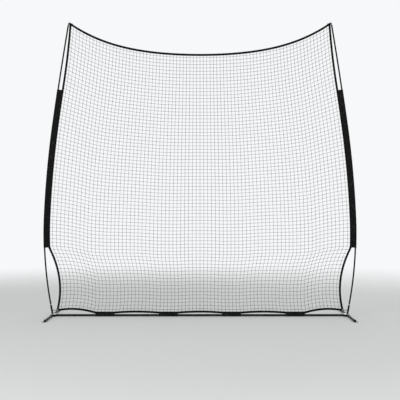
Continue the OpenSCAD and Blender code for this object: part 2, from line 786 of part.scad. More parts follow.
base_tube_centre();
base_tube(left);  // base_tube_left
base_tube(right);  // base_tube_right
tube_spigot(left);  // tube_spigot_left
tube_spigot(right);  // tube_spigot_right
blind_rivets();
snap_button(left);  // snap_button_left
snap_button(right);  // snap_button_right
button_spring(left);  // button_spring_left
button_spring(right);  // button_spring_right
foot_bracket(left);  // foot_bracket_left
foot_bracket(right);  // foot_bracket_right
pole_socket(left);  // pole_socket_left
pole_socket(right);  // pole_socket_right
net_hook(left);  // net_hook_left
net_hook(right);  // net_hook_right
pivot_rivets(left);  // pivot_rivets_left
pivot_rivets(right);  // pivot_rivets_right
leg(left, front);  // leg_front_left
leg(right, front);  // leg_front_right
leg(left, back);  // leg_back_left
leg(right, back);  // leg_back_right
leg_plug(left, front);  // leg_plug_front_left
leg_plug(right, front);  // leg_plug_front_right
leg_plug(left, back);  // leg_plug_back_left
leg_plug(right, back);  // leg_plug_back_right
foot(left, front);  // foot_front_left
foot(right, front);  // foot_front_right
foot(left, back);  // foot_back_left
foot(right, back);  // foot_back_right
pole_section(left, lead_len, section_len);  // pole_lower_left
pole_section(right, lead_len, section_len);  // pole_lower_right
pole_section(left, section_len, 2 * section_len);  // pole_middle_left
pole_section(right, section_len, 2 * section_len);  // pole_middle_right
pole_section(left, 2 * section_len, pole_end);  // pole_upper_left
pole_section(right, 2 * section_len, pole_end);  // pole_upper_right
pole_ferrules(left);  // pole_ferrules_left
pole_ferrules(right);  // pole_ferrules_right
pole_foot(left);  // pole_foot_left
pole_foot(right);  // pole_foot_right
tip_pin(left);  // tip_pin_left
tip_pin(right);  // tip_pin_right
shock_cord(left);  // shock_cord_left
shock_cord(right);  // shock_cord_right
pole_sleeve(left);  // pole_sleeve_left
pole_sleeve(right);  // pole_sleeve_right
border(0, across_steps);  // border_bottom
border(across_steps, side_steps);  // border_right
border(across_steps + side_steps, across_steps);  // border_top
border(2 * across_steps + side_steps, side_steps);  // border_left
net();
base_pockets(left);  // base_pockets_left
base_pockets(right);  // base_pockets_right
corner_loop(left);  // corner_loop_left
corner_loop(right);  // corner_loop_right
corner_patches();
eyelets();
elastic_loop(left);  // elastic_loop_left
elastic_loop(right);  // elastic_loop_right
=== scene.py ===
import math
import random

import bpy
from mathutils import Matrix, Vector, noise


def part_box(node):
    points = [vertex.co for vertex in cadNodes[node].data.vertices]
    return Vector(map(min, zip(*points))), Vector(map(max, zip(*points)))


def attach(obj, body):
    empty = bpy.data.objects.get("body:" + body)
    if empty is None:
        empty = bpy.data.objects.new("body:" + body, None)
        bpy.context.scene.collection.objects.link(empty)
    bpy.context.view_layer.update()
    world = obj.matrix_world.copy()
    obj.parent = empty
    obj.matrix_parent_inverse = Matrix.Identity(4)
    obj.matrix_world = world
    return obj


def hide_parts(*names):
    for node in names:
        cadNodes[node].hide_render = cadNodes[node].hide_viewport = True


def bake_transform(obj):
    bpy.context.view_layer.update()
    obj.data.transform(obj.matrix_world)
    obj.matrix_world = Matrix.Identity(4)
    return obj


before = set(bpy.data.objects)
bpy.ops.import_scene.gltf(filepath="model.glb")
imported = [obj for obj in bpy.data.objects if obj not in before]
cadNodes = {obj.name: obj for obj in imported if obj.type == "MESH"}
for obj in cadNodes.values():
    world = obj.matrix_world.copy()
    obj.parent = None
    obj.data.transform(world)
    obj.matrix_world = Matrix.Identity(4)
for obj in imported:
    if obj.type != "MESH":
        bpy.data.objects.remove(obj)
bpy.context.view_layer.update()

sides = ((1, "Right"), (-1, "Left"))
front, back = Vector((0, -1, 0)), Vector((0, 1, 0))
print("frame loaded:", len(cadNodes), "nodes")


def placed(name, data, place=(0, 0, 0)):  # a new object in the scene
    made = bpy.data.objects.new(name, data)
    made.location = place
    bpy.context.scene.collection.objects.link(made)
    return made


# Camera: level, in front of the net, with a long lens

view = {"distance": 11.5, "height": 1.38, "lens": 87.3, "sensor": 36, "farthest": 200}
cameraData = bpy.data.cameras.new("camera")
cameraData.lens = view["lens"]
cameraData.sensor_width = view["sensor"]
cameraData.clip_end = view["farthest"]
camera = placed("camera", cameraData, (0, -view["distance"], view["height"]))
camera.rotation_euler = (math.radians(90), 0, 0)
bpy.context.scene.camera = camera


# Finishes; a grain's scale is in grains per metre, and relief is the depth of the bumps in metres

class Wire:  # an output socket; arithmetic on it adds Math nodes
    def __init__(self, finish, socket):
        self.finish = finish
        self.socket = socket

    def math(self, operation, *values):
        return self.finish.node("Math", {"operation": operation}, dict(enumerate(values)))

    def __add__(self, other):
        return self.math("ADD", self, other)

    def __radd__(self, other):
        return self.math("ADD", other, self)

    def __sub__(self, other):
        return self.math("SUBTRACT", self, other)

    def __rsub__(self, other):
        return self.math("SUBTRACT", other, self)

    def __mul__(self, other):
        return self.math("MULTIPLY", self, other)

    def __rmul__(self, other):
        return self.math("MULTIPLY", other, self)

    def __pow__(self, other):
        return self.math("POWER", self, other)

    def sine(self):
        return self.math("SINE", self)

    def size(self):
        return self.math("ABSOLUTE", self)


class Finish:  # a material, built round one Principled shader
    def __init__(self, name, constants):
        self.material = bpy.data.materials.new(name)
        self.material.use_nodes = True
        self.tree = self.material.node_tree
        self.shader = next(node for node in self.tree.nodes if node.type == "BSDF_PRINCIPLED")
        for socket, value in constants.items():
            self.shader.inputs[socket].default_value = value

    def node(self, kind, settings, inputs, output=0):
        made = self.tree.nodes.new("ShaderNode" + kind)
        for name, value in settings.items():
            setattr(made, name, value)
        for name, value in inputs.items():
            if isinstance(value, Wire):
                self.tree.links.new(value.socket, made.inputs[name])
            else:
                made.inputs[name].default_value = value
        return Wire(self, made.outputs[output])

    def feed(self, socket, wire):
        self.tree.links.new(wire.socket, self.shader.inputs[socket])

    def place(self):  # object coordinates, in metres
        return self.node("TexCoord", {}, {}, "Object")

    def clothPlace(self):  # the piece's own map: metres along and across the cloth
        return self.node("UVMap", {"uv_map": "clothMap"}, {})

    def stretched(self, place, scale, turn=(0, 0, 0)):
        return self.node("Mapping", {}, {"Vector": place, "Scale": scale, "Rotation": turn})

    def parts(self, place):
        split = self.node("SeparateXYZ", {}, {0: place})
        return [Wire(self, socket) for socket in split.socket.node.outputs]

    def grain(self, place, scale, detail=2.0, rough=0.5):
        return self.node("TexNoise", {}, {"Vector": place, "Scale": scale, "Detail": detail,
                                          "Roughness": rough})

    def cells(self, place, scale, output="Distance"):
        return self.node("TexVoronoi", {}, {"Vector": place, "Scale": scale}, output)

    def between(self, wire, low, high, fromLow=0.0, fromHigh=1.0):
        return self.node("MapRange", {}, {0: wire, 1: fromLow, 2: fromHigh, 3: low, 4: high})

    def blend(self, factor, first, second):
        return self.node("Mix", {"data_type": "RGBA"}, {0: factor, 6: first, 7: second}, 2)

    def done(self, colour, rough, height, strength, relief):  # feeds the shader; the finish is then complete
        bump = {"Strength": strength, "Distance": relief, "Height": height}
        self.feed("Base Color", colour)
        self.feed("Roughness", rough)
        self.feed("Normal", self.node("Bump", {}, bump))
        return self.material


def rgb(red, green, blue):
    return (red, green, blue, 1.0)


def powderCoat(name):
    look = {"paint": rgb(0.0045, 0.0046, 0.0050), "dust": rgb(0.050, 0.047, 0.041),
            "scuff": rgb(0.060, 0.060, 0.063), "cloud": 9, "peel": 620, "scratch": (18, 240, 240),
            "dustHeight": 0.03, "relief": 0.0002}
    finish = Finish(name, {"Specular IOR Level": 0.11})
    place = finish.place()
    up = finish.parts(place)[2]
    cloud = finish.grain(place, look["cloud"], 4)
    low = finish.between(up, 1, 0, 0, look["dustHeight"])
    dust = finish.between(cloud * low, 0, 0.55, 0.22, 0.6)
    scratch = finish.grain(finish.stretched(place, look["scratch"], (0.2, 0.3, 0.5)), 3, 2)
    scuff = finish.between(scratch, 0, 0.8, 0.70, 0.78)
    colour = finish.blend(dust, look["paint"], look["dust"])
    colour = finish.blend(scuff, colour, look["scuff"])
    peel = finish.grain(place, look["peel"], 2)
    rough = finish.between(cloud + 0.3 * peel, 0.36, 0.58, 0.4, 0.9)
    return finish.done(colour, rough, peel + scuff * -0.5, 0.35, look["relief"])


def brightZinc(name):
    look = {"base": rgb(0.52, 0.535, 0.55), "warm": rgb(0.58, 0.55, 0.45), "dull": rgb(0.29, 0.30, 0.31),
            "crystal": 210, "cloud": 26, "stain": 70, "brush": (60, 900, 900), "relief": 0.00015}
    finish = Finish(name, {"Metallic": 0.74, "Specular IOR Level": 0.6})
    place = finish.place()
    shade = finish.parts(finish.cells(place, look["crystal"], "Color"))[0]
    cloud = finish.grain(place, look["cloud"], 4)
    stain = finish.between(finish.grain(place, look["stain"], 5, 0.65), 0, 0.75, 0.56, 0.72)
    colour = finish.blend(finish.between(cloud, 0, 0.55, 0.35, 0.75), look["base"], look["warm"])
    colour = finish.blend(stain, colour, look["dull"])
    brushed = finish.grain(finish.stretched(place, look["brush"]), 1.5, 3)
    rough = finish.between(shade * 0.5 + brushed * 0.3 + stain * 0.4, 0.26, 0.56, 0.1, 0.8)
    return finish.done(colour, rough, brushed + shade * 0.4, 0.22, look["relief"])


def bareAluminium(name):
    look = {"base": rgb(0.72, 0.73, 0.74), "grey": rgb(0.50, 0.51, 0.53), "drawn": (1400, 1400, 12),
            "cloud": 40, "relief": 0.0001}
    finish = Finish(name, {"Metallic": 1.0})
    place = finish.place()
    drawn = finish.grain(finish.stretched(place, look["drawn"]), 1, 3)
    cloud = finish.grain(place, look["cloud"], 4)
    colour = finish.blend(finish.between(cloud, 0, 1, 0.4, 0.75), look["base"], look["grey"])
    rough = finish.between(drawn + cloud * 0.4, 0.24, 0.46, 0.4, 0.95)
    return finish.done(colour, rough, drawn, 0.25, look["relief"])


def mouldedPlastic(name):
    look = {"base": rgb(0.009, 0.0092, 0.0095), "wearAndPaintedHighlight": rgb(0.045, 0.045, 0.044),
            "dust": rgb(0.08, 0.074, 0.062), "texture": 900, "cloud": 45, "rub": 130, "dustHeight": 0.02,
            "relief": 0.00018}
    finish = Finish(name, {"Specular IOR Level": 0.16})
    place = finish.place()
    up = finish.parts(place)[2]
    cloud = finish.grain(place, look["cloud"], 4)
    # the lighter patches here are rubbed wear at random places
    wearAndPaintedHighlight = finish.between(finish.grain(place, look["rub"], 5, 0.7), 0, 0.6, 0.60, 0.75)
    dust = finish.between(up, 0.6, 0, 0, look["dustHeight"]) * finish.between(cloud, 0, 1, 0.4, 0.7)
    colour = finish.blend(wearAndPaintedHighlight, look["base"], look["wearAndPaintedHighlight"])
    colour = finish.blend(dust, colour, look["dust"])
    rough = finish.between(cloud + wearAndPaintedHighlight * 0.3, 0.38, 0.68, 0.3, 0.9)
    return finish.done(colour, rough, finish.cells(place, look["texture"]), 0.3, look["relief"])


def glassFibre(name):
    look = {"base": rgb(0.0028, 0.0029, 0.0033), "streak": rgb(0.010, 0.0104, 0.011),
            "rub": rgb(0.028, 0.028, 0.028), "fibres": (900, 900, 26), "rubs": (300, 300, 40), "cloud": 7,
            "wrapUp": 420, "wrapAcross": 150, "relief": 0.00015}
    finish = Finish(name, {"Specular IOR Level": 0.08})
    place = finish.place()
    x, _, z = finish.parts(place)
    fibres = finish.grain(finish.stretched(place, look["fibres"]), 1, 4, 0.6)
    wrap = (z * look["wrapUp"] + x * look["wrapAcross"]).sine()
    cloud = finish.grain(place, look["cloud"], 3)
    rub = finish.between(finish.grain(finish.stretched(place, look["rubs"]), 1, 5, 0.7), 0, 0.6, 0.66, 0.78)
    colour = finish.blend(finish.between(fibres, 0, 0.8, 0.45, 0.75), look["base"], look["streak"])
    colour = finish.blend(rub, colour, look["rub"])
    rough = finish.between(cloud * 0.6 + fibres * 0.5, 0.34, 0.58, 0.3, 0.8)
    return finish.done(colour, rough, fibres + wrap * 0.12, 0.25, look["relief"])


def braided(name, look):  # a cord's cover of crossing threads
    braid = {"cloud": 30, "fibre": 2600, "relief": 0.0003}
    finish = Finish(name, {"Sheen Weight": 0.04, "Specular IOR Level": 0.2})
    place = finish.place()
    x, y, z = finish.parts(place)
    turn = 2 * math.pi / look["pitch"]
    lay = ((x + y + z) * turn).sine() * ((x - y - z) * turn).sine()
    cloud = finish.grain(place, braid["cloud"], 4)
    fibre = finish.grain(place, braid["fibre"], 2)
    light = finish.between(lay * 0.5 + fibre + cloud * 0.5, 0, 1, 0.55, 1.35)
    colour = finish.blend(light, look["base"], look["fleck"])
    return finish.done(colour, finish.between(cloud, 0.68, 0.9), lay + fibre * 0.4, 0.7, braid["relief"])


def twistedTwine(name):
    look = {"base": rgb(0.0040, 0.0042, 0.0048), "worn": rgb(0.020, 0.0195, 0.0185), "pitch": 0.0042,
            "cloud": 1.6, "fibre": 2200, "relief": 0.0004}
    finish = Finish(name, {"Specular IOR Level": 0.07})
    place = finish.place()
    x, y, z = finish.parts(place)
    lay = ((x + z * 0.96 + y * 1.4) * (2 * math.pi / look["pitch"])).sine()
    cloud = finish.grain(place, look["cloud"], 5)
    fibre = finish.grain(place, look["fibre"], 2)
    worn = finish.between(fibre * 0.6 + cloud * 0.6 + lay * 0.08, 0, 1, 0.52, 0.85)
    colour = finish.blend(worn, look["base"], look["worn"])
    rough = finish.between(cloud + fibre * 0.4, 0.55, 0.85, 0.4, 1.0)
    return finish.done(colour, rough, lay + fibre * 0.5, 0.8, look["relief"])


def wovenPolyester(name):
    look = {"base": rgb(0.0026, 0.0027, 0.0031), "worn": rgb(0.0078, 0.0078, 0.0086),
            "dust": rgb(0.022, 0.021, 0.019), "crest": rgb(0.050, 0.051, 0.054), "thread": 0.0006,
            "slub": (60, 1500, 1), "cloud": 11, "patch": 42, "relief": 0.00016}
    finish = Finish(name, {"Sheen Weight": 0.008, "Sheen Roughness": 0.4, "Specular IOR Level": 0.085})
    cloth = finish.clothPlace()
    along, across, _ = finish.parts(cloth)
    turn = math.pi / look["thread"]
    weave = (across * turn).sine().size() * (along * turn).sine().size()
    slub = finish.grain(finish.stretched(cloth, look["slub"]), 1, 3)
    cloud = finish.grain(cloth, look["cloud"], 5)
    patch = finish.between(finish.grain(cloth, look["patch"], 5, 0.65), 0, 0.7, 0.55, 0.72)
    crest = finish.node("Attribute", {"attribute_name": "foldCrest"}, {}, "Fac")  # how far a fold stands up
    # painted highlight: the crests of the slanting folds are lightened, standing in for the sheen they catch
    # from the lamps
    wearAndPaintedHighlight = crest * finish.between(slub + cloud, 0.25, 1, 0.6, 1.2)
    colour = finish.blend(finish.between(weave + slub * 0.6, 0, 0.8, 0.3, 1.3), look["base"], look["worn"])
    colour = finish.blend(patch * finish.between(cloud, 0, 0.7, 0.45, 0.7), colour, look["dust"])
    # the crest colour is laid over the cloth as a painted highlight
    colour = finish.blend(wearAndPaintedHighlight, colour, look["crest"])
    rough = finish.between(cloud + slub * 0.3, 0.38, 0.60, 0.4, 1.0)
    return finish.done(colour, rough, weave + slub * 0.6, 0.5, look["relief"])


def ribbedWebbing(name):
    look = {"base": rgb(0.0026, 0.0027, 0.0031), "worn": rgb(0.0090, 0.0090, 0.0095),
            "dust": rgb(0.024, 0.023, 0.021), "rib": 0.0016, "chevron": 0.0042, "cloud": 6, "fibre": 2400,
            "patch": 24, "relief": 0.0003}
    finish = Finish(name, {"Sheen Weight": 0.012, "Sheen Roughness": 0.5, "Specular IOR Level": 0.07})
    cloth = finish.clothPlace()
    along, across, _ = finish.parts(cloth)
    turn = 2 * math.pi / look["rib"]
    rib = (across * turn).sine()
    zigzag = (across * (math.pi / look["chevron"])).sine().size() * look["chevron"]
    pick = ((along + zigzag) * turn).sine()
    cloud = finish.grain(cloth, look["cloud"], 5)
    fibre = finish.grain(cloth, look["fibre"], 2)
    light = finish.between(pick * 0.25 + rib * 0.2 + fibre * 0.8 + cloud * 0.5, 0, 0.9, 0.45, 1.2)
    patch = finish.between(finish.grain(cloth, look["patch"], 5, 0.7), 0, 0.5, 0.6, 0.78)
    colour = finish.blend(light, look["base"], look["worn"])
    colour = finish.blend(patch, colour, look["dust"])
    rough = finish.between(cloud + fibre * 0.3, 0.58, 0.82, 0.4, 1.0)
    return finish.done(colour, rough, rib * 0.7 + pick * 0.6 + fibre * 0.3, 0.7, look["relief"])


def sewingThread(name):
    look = {"base": rgb(0.012, 0.012, 0.013), "light": rgb(0.045, 0.045, 0.046), "fibre": 3000,
            "relief": 0.0001}
    finish = Finish(name, {"Specular IOR Level": 0.25})
    fibre = finish.grain(finish.place(), look["fibre"], 2)
    colour = finish.blend(fibre, look["base"], look["light"])
    return finish.done(colour, finish.between(fibre, 0.45, 0.75), fibre, 0.4, look["relief"])


cordLooks = {
    "elastic": {"base": rgb(0.012, 0.012, 0.013), "fleck": rgb(0.075, 0.075, 0.078), "pitch": 0.0022},
    "shock": {"base": rgb(0.10, 0.012, 0.012), "fleck": rgb(0.22, 0.10, 0.08), "pitch": 0.0018},
}
finishes = {
    "black_steel": powderCoat("blackSteel"),
    "zinc_steel": brightZinc("zincSteel"),
    "aluminium": bareAluminium("aluminium"),
    "black_plastic": mouldedPlastic("blackPlastic"),
    "black_fibreglass": glassFibre("blackFibreglass"),
    "elastic_cord": braided("elasticCord", cordLooks["elastic"]),
    "shock_cord": braided("shockCord", cordLooks["shock"]),
    "black_polyester": wovenPolyester("blackPolyester"),
    "black_webbing": ribbedWebbing("blackWebbing"),
    "black_twine": twistedTwine("blackTwine"),
    "thread": sewingThread("sewingThread"),
}
nodesKept = {  # the starts of the names of the CAD nodes that show, by finish
    "black_steel": ("base_tube", "leg_front", "leg_back", "pole_socket"),
    "zinc_steel": ("tube_spigot", "blind_rivets", "snap_button", "foot_bracket", "net_hook", "pivot_rivets",
                   "tip_pin", "eyelets"),
    "aluminium": ("pole_ferrules", "pole_foot"),
    "black_plastic": ("leg_plug", "foot_front", "foot_back"),
    "black_fibreglass": ("pole_lower", "pole_middle", "pole_upper"),
    "shock_cord": ("shock_cord",),
}
for finishName, starts in nodesKept.items():
    for nodeName, node in cadNodes.items():
        if nodeName.startswith(starts):
            node.data.materials.clear()
            node.data.materials.append(finishes[finishName])
print("finishes made:", len(finishes))


# Lines that the cloth pieces follow, in metres; a flat point is (across, up)

plan = {"pivotX": 1.748, "plateTop": 0.031, "barHeight": 0.0155, "poleLean": 10.5,
        "stretches": ((0.112, 0), (1.038, 13), (1.15, 5.5), (1.15, 1.5), (0.084, 0)),  # (length, turn)
        "sleeveStart": 0.79, "sleeveLen": 1.885, "sleeveIn": 0.055, "loopAt": 3.4633, "loopReach": 0.024,
        "topSag": 0.365, "topEven": 0.57, "upperSag": 0.009, "lowerSag": 0.072, "outerRise": 0.028,
        "pocketRise": 0.012, "cornerIn": 0.058, "cornerUp": 0.074, "pocketLen": 0.225,
        "pocketSpacing": 0.752, "pocketBorder": 0.045, "borderWidth": 0.025, "borderThick": 0.003}


def alongLean(lean):
    return Vector((math.sin(math.radians(lean)), math.cos(math.radians(lean))))


def outOfLean(lean):
    return Vector((math.cos(math.radians(lean)), -math.sin(math.radians(lean))))


def carried(foot, lean, length, turn):  # the end of a stretch that starts at foot and turns evenly
    if turn == 0:
        return foot + length * alongLean(lean)
    return foot + length / math.radians(turn) * (outOfLean(lean - turn) - outOfLean(lean))


poleStretches = []
stretchFoot, stretchLean, stretchStart = Vector((plan["pivotX"], plan["plateTop"])), plan["poleLean"], 0
for length, turn in plan["stretches"]:
    poleStretches.append((stretchStart, stretchFoot, stretchLean, length, turn))
    stretchFoot = carried(stretchFoot, stretchLean, length, turn)
    stretchLean -= turn
    stretchStart += length


def poleAt(s):  # the pole's axis and lean at a distance along it
    start, foot, lean, length, turn = [part for part in poleStretches if part[0] <= s + 1e-9][-1]
    share = turn * (s - start) / length
    return carried(foot, lean, s - start, share), lean - share


def besidePole(s, distance):
    point, lean = poleAt(s)
    return point + distance * outOfLean(lean)


def bulge(t):
    return 4 * t * (1 - t)


def bowed(start, end, sag, t):
    return start + (end - start) * t - Vector((sag * bulge(t), 0))


bottomCorner = Vector((plan["pivotX"] - plan["cornerIn"], plan["cornerUp"]))
topCorner = besidePole(plan["loopAt"], -plan["loopReach"])
sleeveFoot = besidePole(plan["sleeveStart"], -plan["sleeveIn"])
sleeveHead = besidePole(plan["sleeveStart"] + plan["sleeveLen"], -plan["sleeveIn"])
lowerLen = (sleeveFoot - bottomCorner).length
upperLen = (topCorner - sleeveHead).length
sideLen = lowerLen + plan["sleeveLen"] + upperLen
outerPocket = 1.5 * plan["pocketSpacing"]  # the middle of an outer pocket


def sideAt(length):
    if length < lowerLen:
        return bowed(bottomCorner, sleeveFoot, plan["lowerSag"], length / lowerLen)
    if length < lowerLen + plan["sleeveLen"]:
        return besidePole(plan["sleeveStart"] + length - lowerLen, -plan["sleeveIn"])
    return bowed(topCorner, sleeveHead, plan["upperSag"], (sideLen - length) / upperLen)


def fromPocket(x):  # distance from the nearest pocket, negative on it
    if abs(x) > outerPocket:
        return abs(x) - outerPocket - plan["pocketLen"] / 2
    return abs(abs(x) % plan["pocketSpacing"] - plan["pocketSpacing"] / 2) - plan["pocketLen"] / 2


def bottomHeight(x):
    away = fromPocket(x)
    if away <= 0:
        return plan["pocketBorder"]
    if abs(x) > outerPocket:
        t = away / (bottomCorner.x - outerPocket - plan["pocketLen"] / 2)
        climb = (bottomCorner.y - plan["pocketBorder"]) * t
        return plan["pocketBorder"] + climb + plan["outerRise"] * bulge(t)
    t = away / (plan["pocketSpacing"] - plan["pocketLen"])
    return plan["pocketBorder"] + plan["pocketRise"] * bulge(t)


def topAt(t):
    drop = plan["topEven"] * (1 - t ** 2) + (1 - plan["topEven"]) * (1 - t ** 4)
    return Vector((t * topCorner.x, topCorner.y - plan["topSag"] * drop))


def mirroredPoint(point):
    return Vector((-point.x, point.y))


def edgeLine(acrossShares, upShares):  # the middle of the border, counted round from the bottom left corner
    bottomPlaces = [(2 * t - 1) * bottomCorner.x for t in acrossShares]
    bottom = [Vector((x, bottomHeight(x))) for x in bottomPlaces]
    right = [topCorner if t == 1 else sideAt(sideLen * t) for t in upShares]
    top = [topAt(2 * t - 1) for t in acrossShares]
    left = [mirroredPoint(point) for point in right]
    return bottom[:-1] + right[:-1] + top[:0:-1] + left[:0:-1]


def squareOut(way):
    return Vector((way.y, -way.x)).normalized()


def grown(line, distance):  # the closed line moved outwards
    moved = []
    for i, point in enumerate(line):
        before, after = squareOut(point - line[i - 1]), squareOut(line[(i + 1) % len(line)] - point)
        moved.append(point + distance * (before + after) / (1 + before.dot(after)))
    return moved


def spread(count):  # even shares from 0 to 1, without those next to the ends
    return [0] + [k / count for k in range(2, count - 1)] + [1]


def lengthsAlong(line):  # how far each point of a line is from its start
    lengths = [0]
    for a, b in zip(line, line[1:]):
        lengths.append(lengths[-1] + math.dist(a, b))
    return lengths


def arc(radius, first, last, steps):  # (x, y) points on a circle, from one angle to another
    turns = [first + (last - first) * k / steps for k in range(steps + 1)]
    return [(radius * math.cos(turn), radius * math.sin(turn)) for turn in turns]


# Making and finishing pieces

def onlySelect(piece):
    bpy.ops.object.select_all(action="DESELECT")
    piece.select_set(True)
    bpy.context.view_layer.objects.active = piece


def added(name, primitive, **settings):  # a new primitive, with nothing else selected
    bpy.ops.object.select_all(action="DESELECT")
    primitive(**settings)
    piece = bpy.context.object
    piece.name = piece.data.name = name
    return piece


def tidyMesh(piece, angle=40, joined=None):  # shared points merged, faces outwards, soft shading
    onlySelect(piece)
    bpy.ops.object.mode_set(mode="EDIT")
    bpy.ops.mesh.select_all(action="SELECT")
    if joined:
        bpy.ops.mesh.remove_doubles(threshold=joined)
    bpy.ops.mesh.normals_make_consistent(inside=False)
    bpy.ops.object.mode_set(mode="OBJECT")
    bpy.ops.object.shade_smooth_by_angle(angle=math.radians(angle))


def thicken(piece, thickness, edge=None, angle=40):  # gives a sheet thickness and, if asked, round edges
    steps = [("SOLIDIFY", {"thickness": thickness, "offset": 0})]
    if edge:
        steps.append(("BEVEL", {"width": edge, "segments": 2, "limit_method": "ANGLE",
                                "angle_limit": math.radians(50)}))
    onlySelect(piece)
    for kind, settings in steps:
        modifier = piece.modifiers.new(kind.lower(), kind)
        for name, value in settings.items():
            setattr(modifier, name, value)
        bpy.ops.object.modifier_apply(modifier=modifier.name)
    tidyMesh(piece, angle)


def settle(piece, slot, nodes=(), finish=None, body="stand"):  # nodes are the CAD nodes that it stands for
    piece.data.materials.clear()
    piece.data.materials.append(finishes[finish or slot])
    if body:
        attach(piece, body)
    if nodes:
        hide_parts(*nodes)


def clothGrid(name, columns, rows, put, lay, crest=None):
    # a grid placed point by point: put(i, j) gives a point's place, lay(i, j) its metres on the cloth,
    # and crest(i, j) how much it stands on the crest of a fold
    piece = added(name, bpy.ops.mesh.primitive_grid_add, x_subdivisions=columns, y_subdivisions=rows, size=1)
    spots = [(round((v.co.x + 0.5) * columns), round((v.co.y + 0.5) * rows)) for v in piece.data.vertices]
    for vertex, spot in zip(piece.data.vertices, spots):
        vertex.co = put(*spot)
    clothMap = piece.data.uv_layers.active
    clothMap.name = "clothMap"
    for corner in piece.data.loops:
        clothMap.data[corner.index].uv = lay(*spots[corner.vertex_index])
    if crest:
        crests = piece.data.attributes.new("foldCrest", "FLOAT", "POINT")
        crests.data.foreach_set("value", [crest(*spot) for spot in spots])
    return piece


def tubeAlong(name, lines, radius, sideCount, closed=False, swell=None, angle=60, joined=None):
    # round twine or cord along lines of points, made a mesh
    curve = bpy.data.curves.new(name, "CURVE")
    curve.dimensions = "3D"
    curve.bevel_depth = radius
    curve.bevel_resolution = (sideCount - 4) // 2
    curve.use_fill_caps = not closed
    for line in lines:
        spline = curve.splines.new("POLY")
        spline.points.add(len(line) - 1)
        for k, place in enumerate(line):
            spline.points[k].co = (*place, 1)
            if swell:
                spline.points[k].radius = swell(k)
        spline.use_cyclic_u = closed
    onlySelect(placed(name, curve))
    bpy.ops.object.convert(target="MESH")
    tidyMesh(bpy.context.object, angle, joined)
    return bpy.context.object


def repeated(name, pattern, places):  # one mesh of many copies of a small pattern
    corners = [v.co.copy() for v in pattern.data.vertices]
    polygons = [tuple(face.vertices) for face in pattern.data.polygons]
    points, faces = [], []
    for place in places:
        first = len(points)
        points += [place @ corner for corner in corners]
        faces += [[first + k for k in polygon] for polygon in polygons]
    mesh = bpy.data.meshes.new(name)
    mesh.from_pydata(points, [], faces)
    piece = placed(name, mesh)
    onlySelect(piece)
    bpy.ops.object.shade_smooth()
    return piece


def standing(point, depth):  # a flat point, at a depth
    return Vector((point.x, depth, point.y))


def framed(place, ahead, out):  # a matrix at place, its X ahead and its Z out of the surface
    ahead = ahead.normalized()
    side = out.cross(ahead).normalized()
    up = ahead.cross(side)
    return Matrix((
        (ahead.x, side.x, up.x, place.x), (ahead.y, side.y, up.y, place.y),
        (ahead.z, side.z, up.z, place.z), (0, 0, 0, 1)))


stitch = {"length": 0.0048, "gap": 0.0016, "radius": 0.00042, "dive": 1.2, "proud": 0.0001}


def stitchPattern():  # one stitch: a short round thread that dives into the cloth at both ends
    length, radius = stitch["length"], stitch["radius"]
    thread = added("stitch", bpy.ops.mesh.primitive_uv_sphere_add, segments=6, ring_count=4, radius=radius,
                   rotation=(0, math.pi / 2, 0))
    bpy.ops.object.transform_apply(rotation=True)
    bpy.ops.object.mode_set(mode="EDIT")
    bpy.ops.transform.resize(value=(length / (2 * radius), 1, 1))
    bpy.ops.object.mode_set(mode="OBJECT")
    for vertex in thread.data.vertices:
        vertex.co.z -= stitch["dive"] * radius * (2 * vertex.co.x / length) ** 2
    return thread


def sewn(name, runs, pitch=stitch["length"] + stitch["gap"]):
    # rows of stitches; a run is a line of points, and for each point the way out of the cloth
    pattern = stitchPattern()
    places = []
    for line, outs in runs:
        left = pitch / 2
        for k in range(len(line) - 1):
            step = line[k + 1] - line[k]
            if step.length < 1e-7:
                continue
            while left <= step.length:
                share = left / step.length
                out = outs[k].lerp(outs[k + 1], share).normalized()
                places.append(framed(line[k] + step * share, step, out))
                left += pitch
            left -= step.length
    settle(repeated(name, pattern, places), "black_webbing", finish="thread")
    bpy.data.objects.remove(pattern)


# Net: twine strands and a knot at each crossing

netting = {"across": 78, "up": 76, "twine": 0.0016, "knot": 0.0034, "lobes": 0.22, "flat": 0.72,
           "intoBorder": 0.0104, "wander": 0.0006, "belly": 0.010, "bellyScale": 1.1, "edgeHold": 12,
           "pointsPerGap": 2, "upperFrom": 39, "seed": 7, "knotTurn": 0.4, "knotVary": 0.1}
acrossShares = [k / netting["across"] for k in range(netting["across"] + 1)]
upShares = [k / netting["up"] for k in range(netting["up"] + 1)]
netEdge = grown(edgeLine(acrossShares, upShares), -netting["intoBorder"])


def onNetEdge(first, place, step, count):  # a place on one edge, counted in strands from a corner
    k = min(int(place), count - 1)
    a, b = netEdge[(first + step * k) % len(netEdge)], netEdge[(first + step * (k + 1)) % len(netEdge)]
    return a + (b - a) * (place - k)


def netPoint(i, j):  # stretched evenly between the four edges; i and j may fall between strands
    across, up = netting["across"], netting["up"]
    u, v = i / across, j / up
    bottom, top = onNetEdge(0, i, 1, across), onNetEdge(2 * across + up, i, -1, across)
    left, right = onNetEdge(0, j, -1, up), onNetEdge(across, j, 1, up)
    bottomLeft, bottomRight = netEdge[0], netEdge[across]
    topLeft, topRight = netEdge[(2 * across + up) % len(netEdge)], netEdge[across + up]
    flat = ((1 - v) * bottom + v * top + (1 - u) * left + u * right
            - (1 - u) * (1 - v) * bottomLeft - u * (1 - v) * bottomRight
            - (1 - u) * v * topLeft - u * v * topRight)
    loose = min(1, netting["edgeHold"] * u * (1 - u)) * min(1, netting["edgeHold"] * v * (1 - v))
    sway = Vector((0, 0))
    if i == int(i) and j == int(j):
        sway = Vector([noise.noise(Vector((i * 0.9, j * 0.9, layer))) for layer in (3, 9)])
    swell = noise.noise(Vector((flat.x * netting["bellyScale"], 4.2, flat.y * netting["bellyScale"])))
    return standing(flat + sway * netting["wander"] * loose * 2, netting["belly"] * loose * swell)


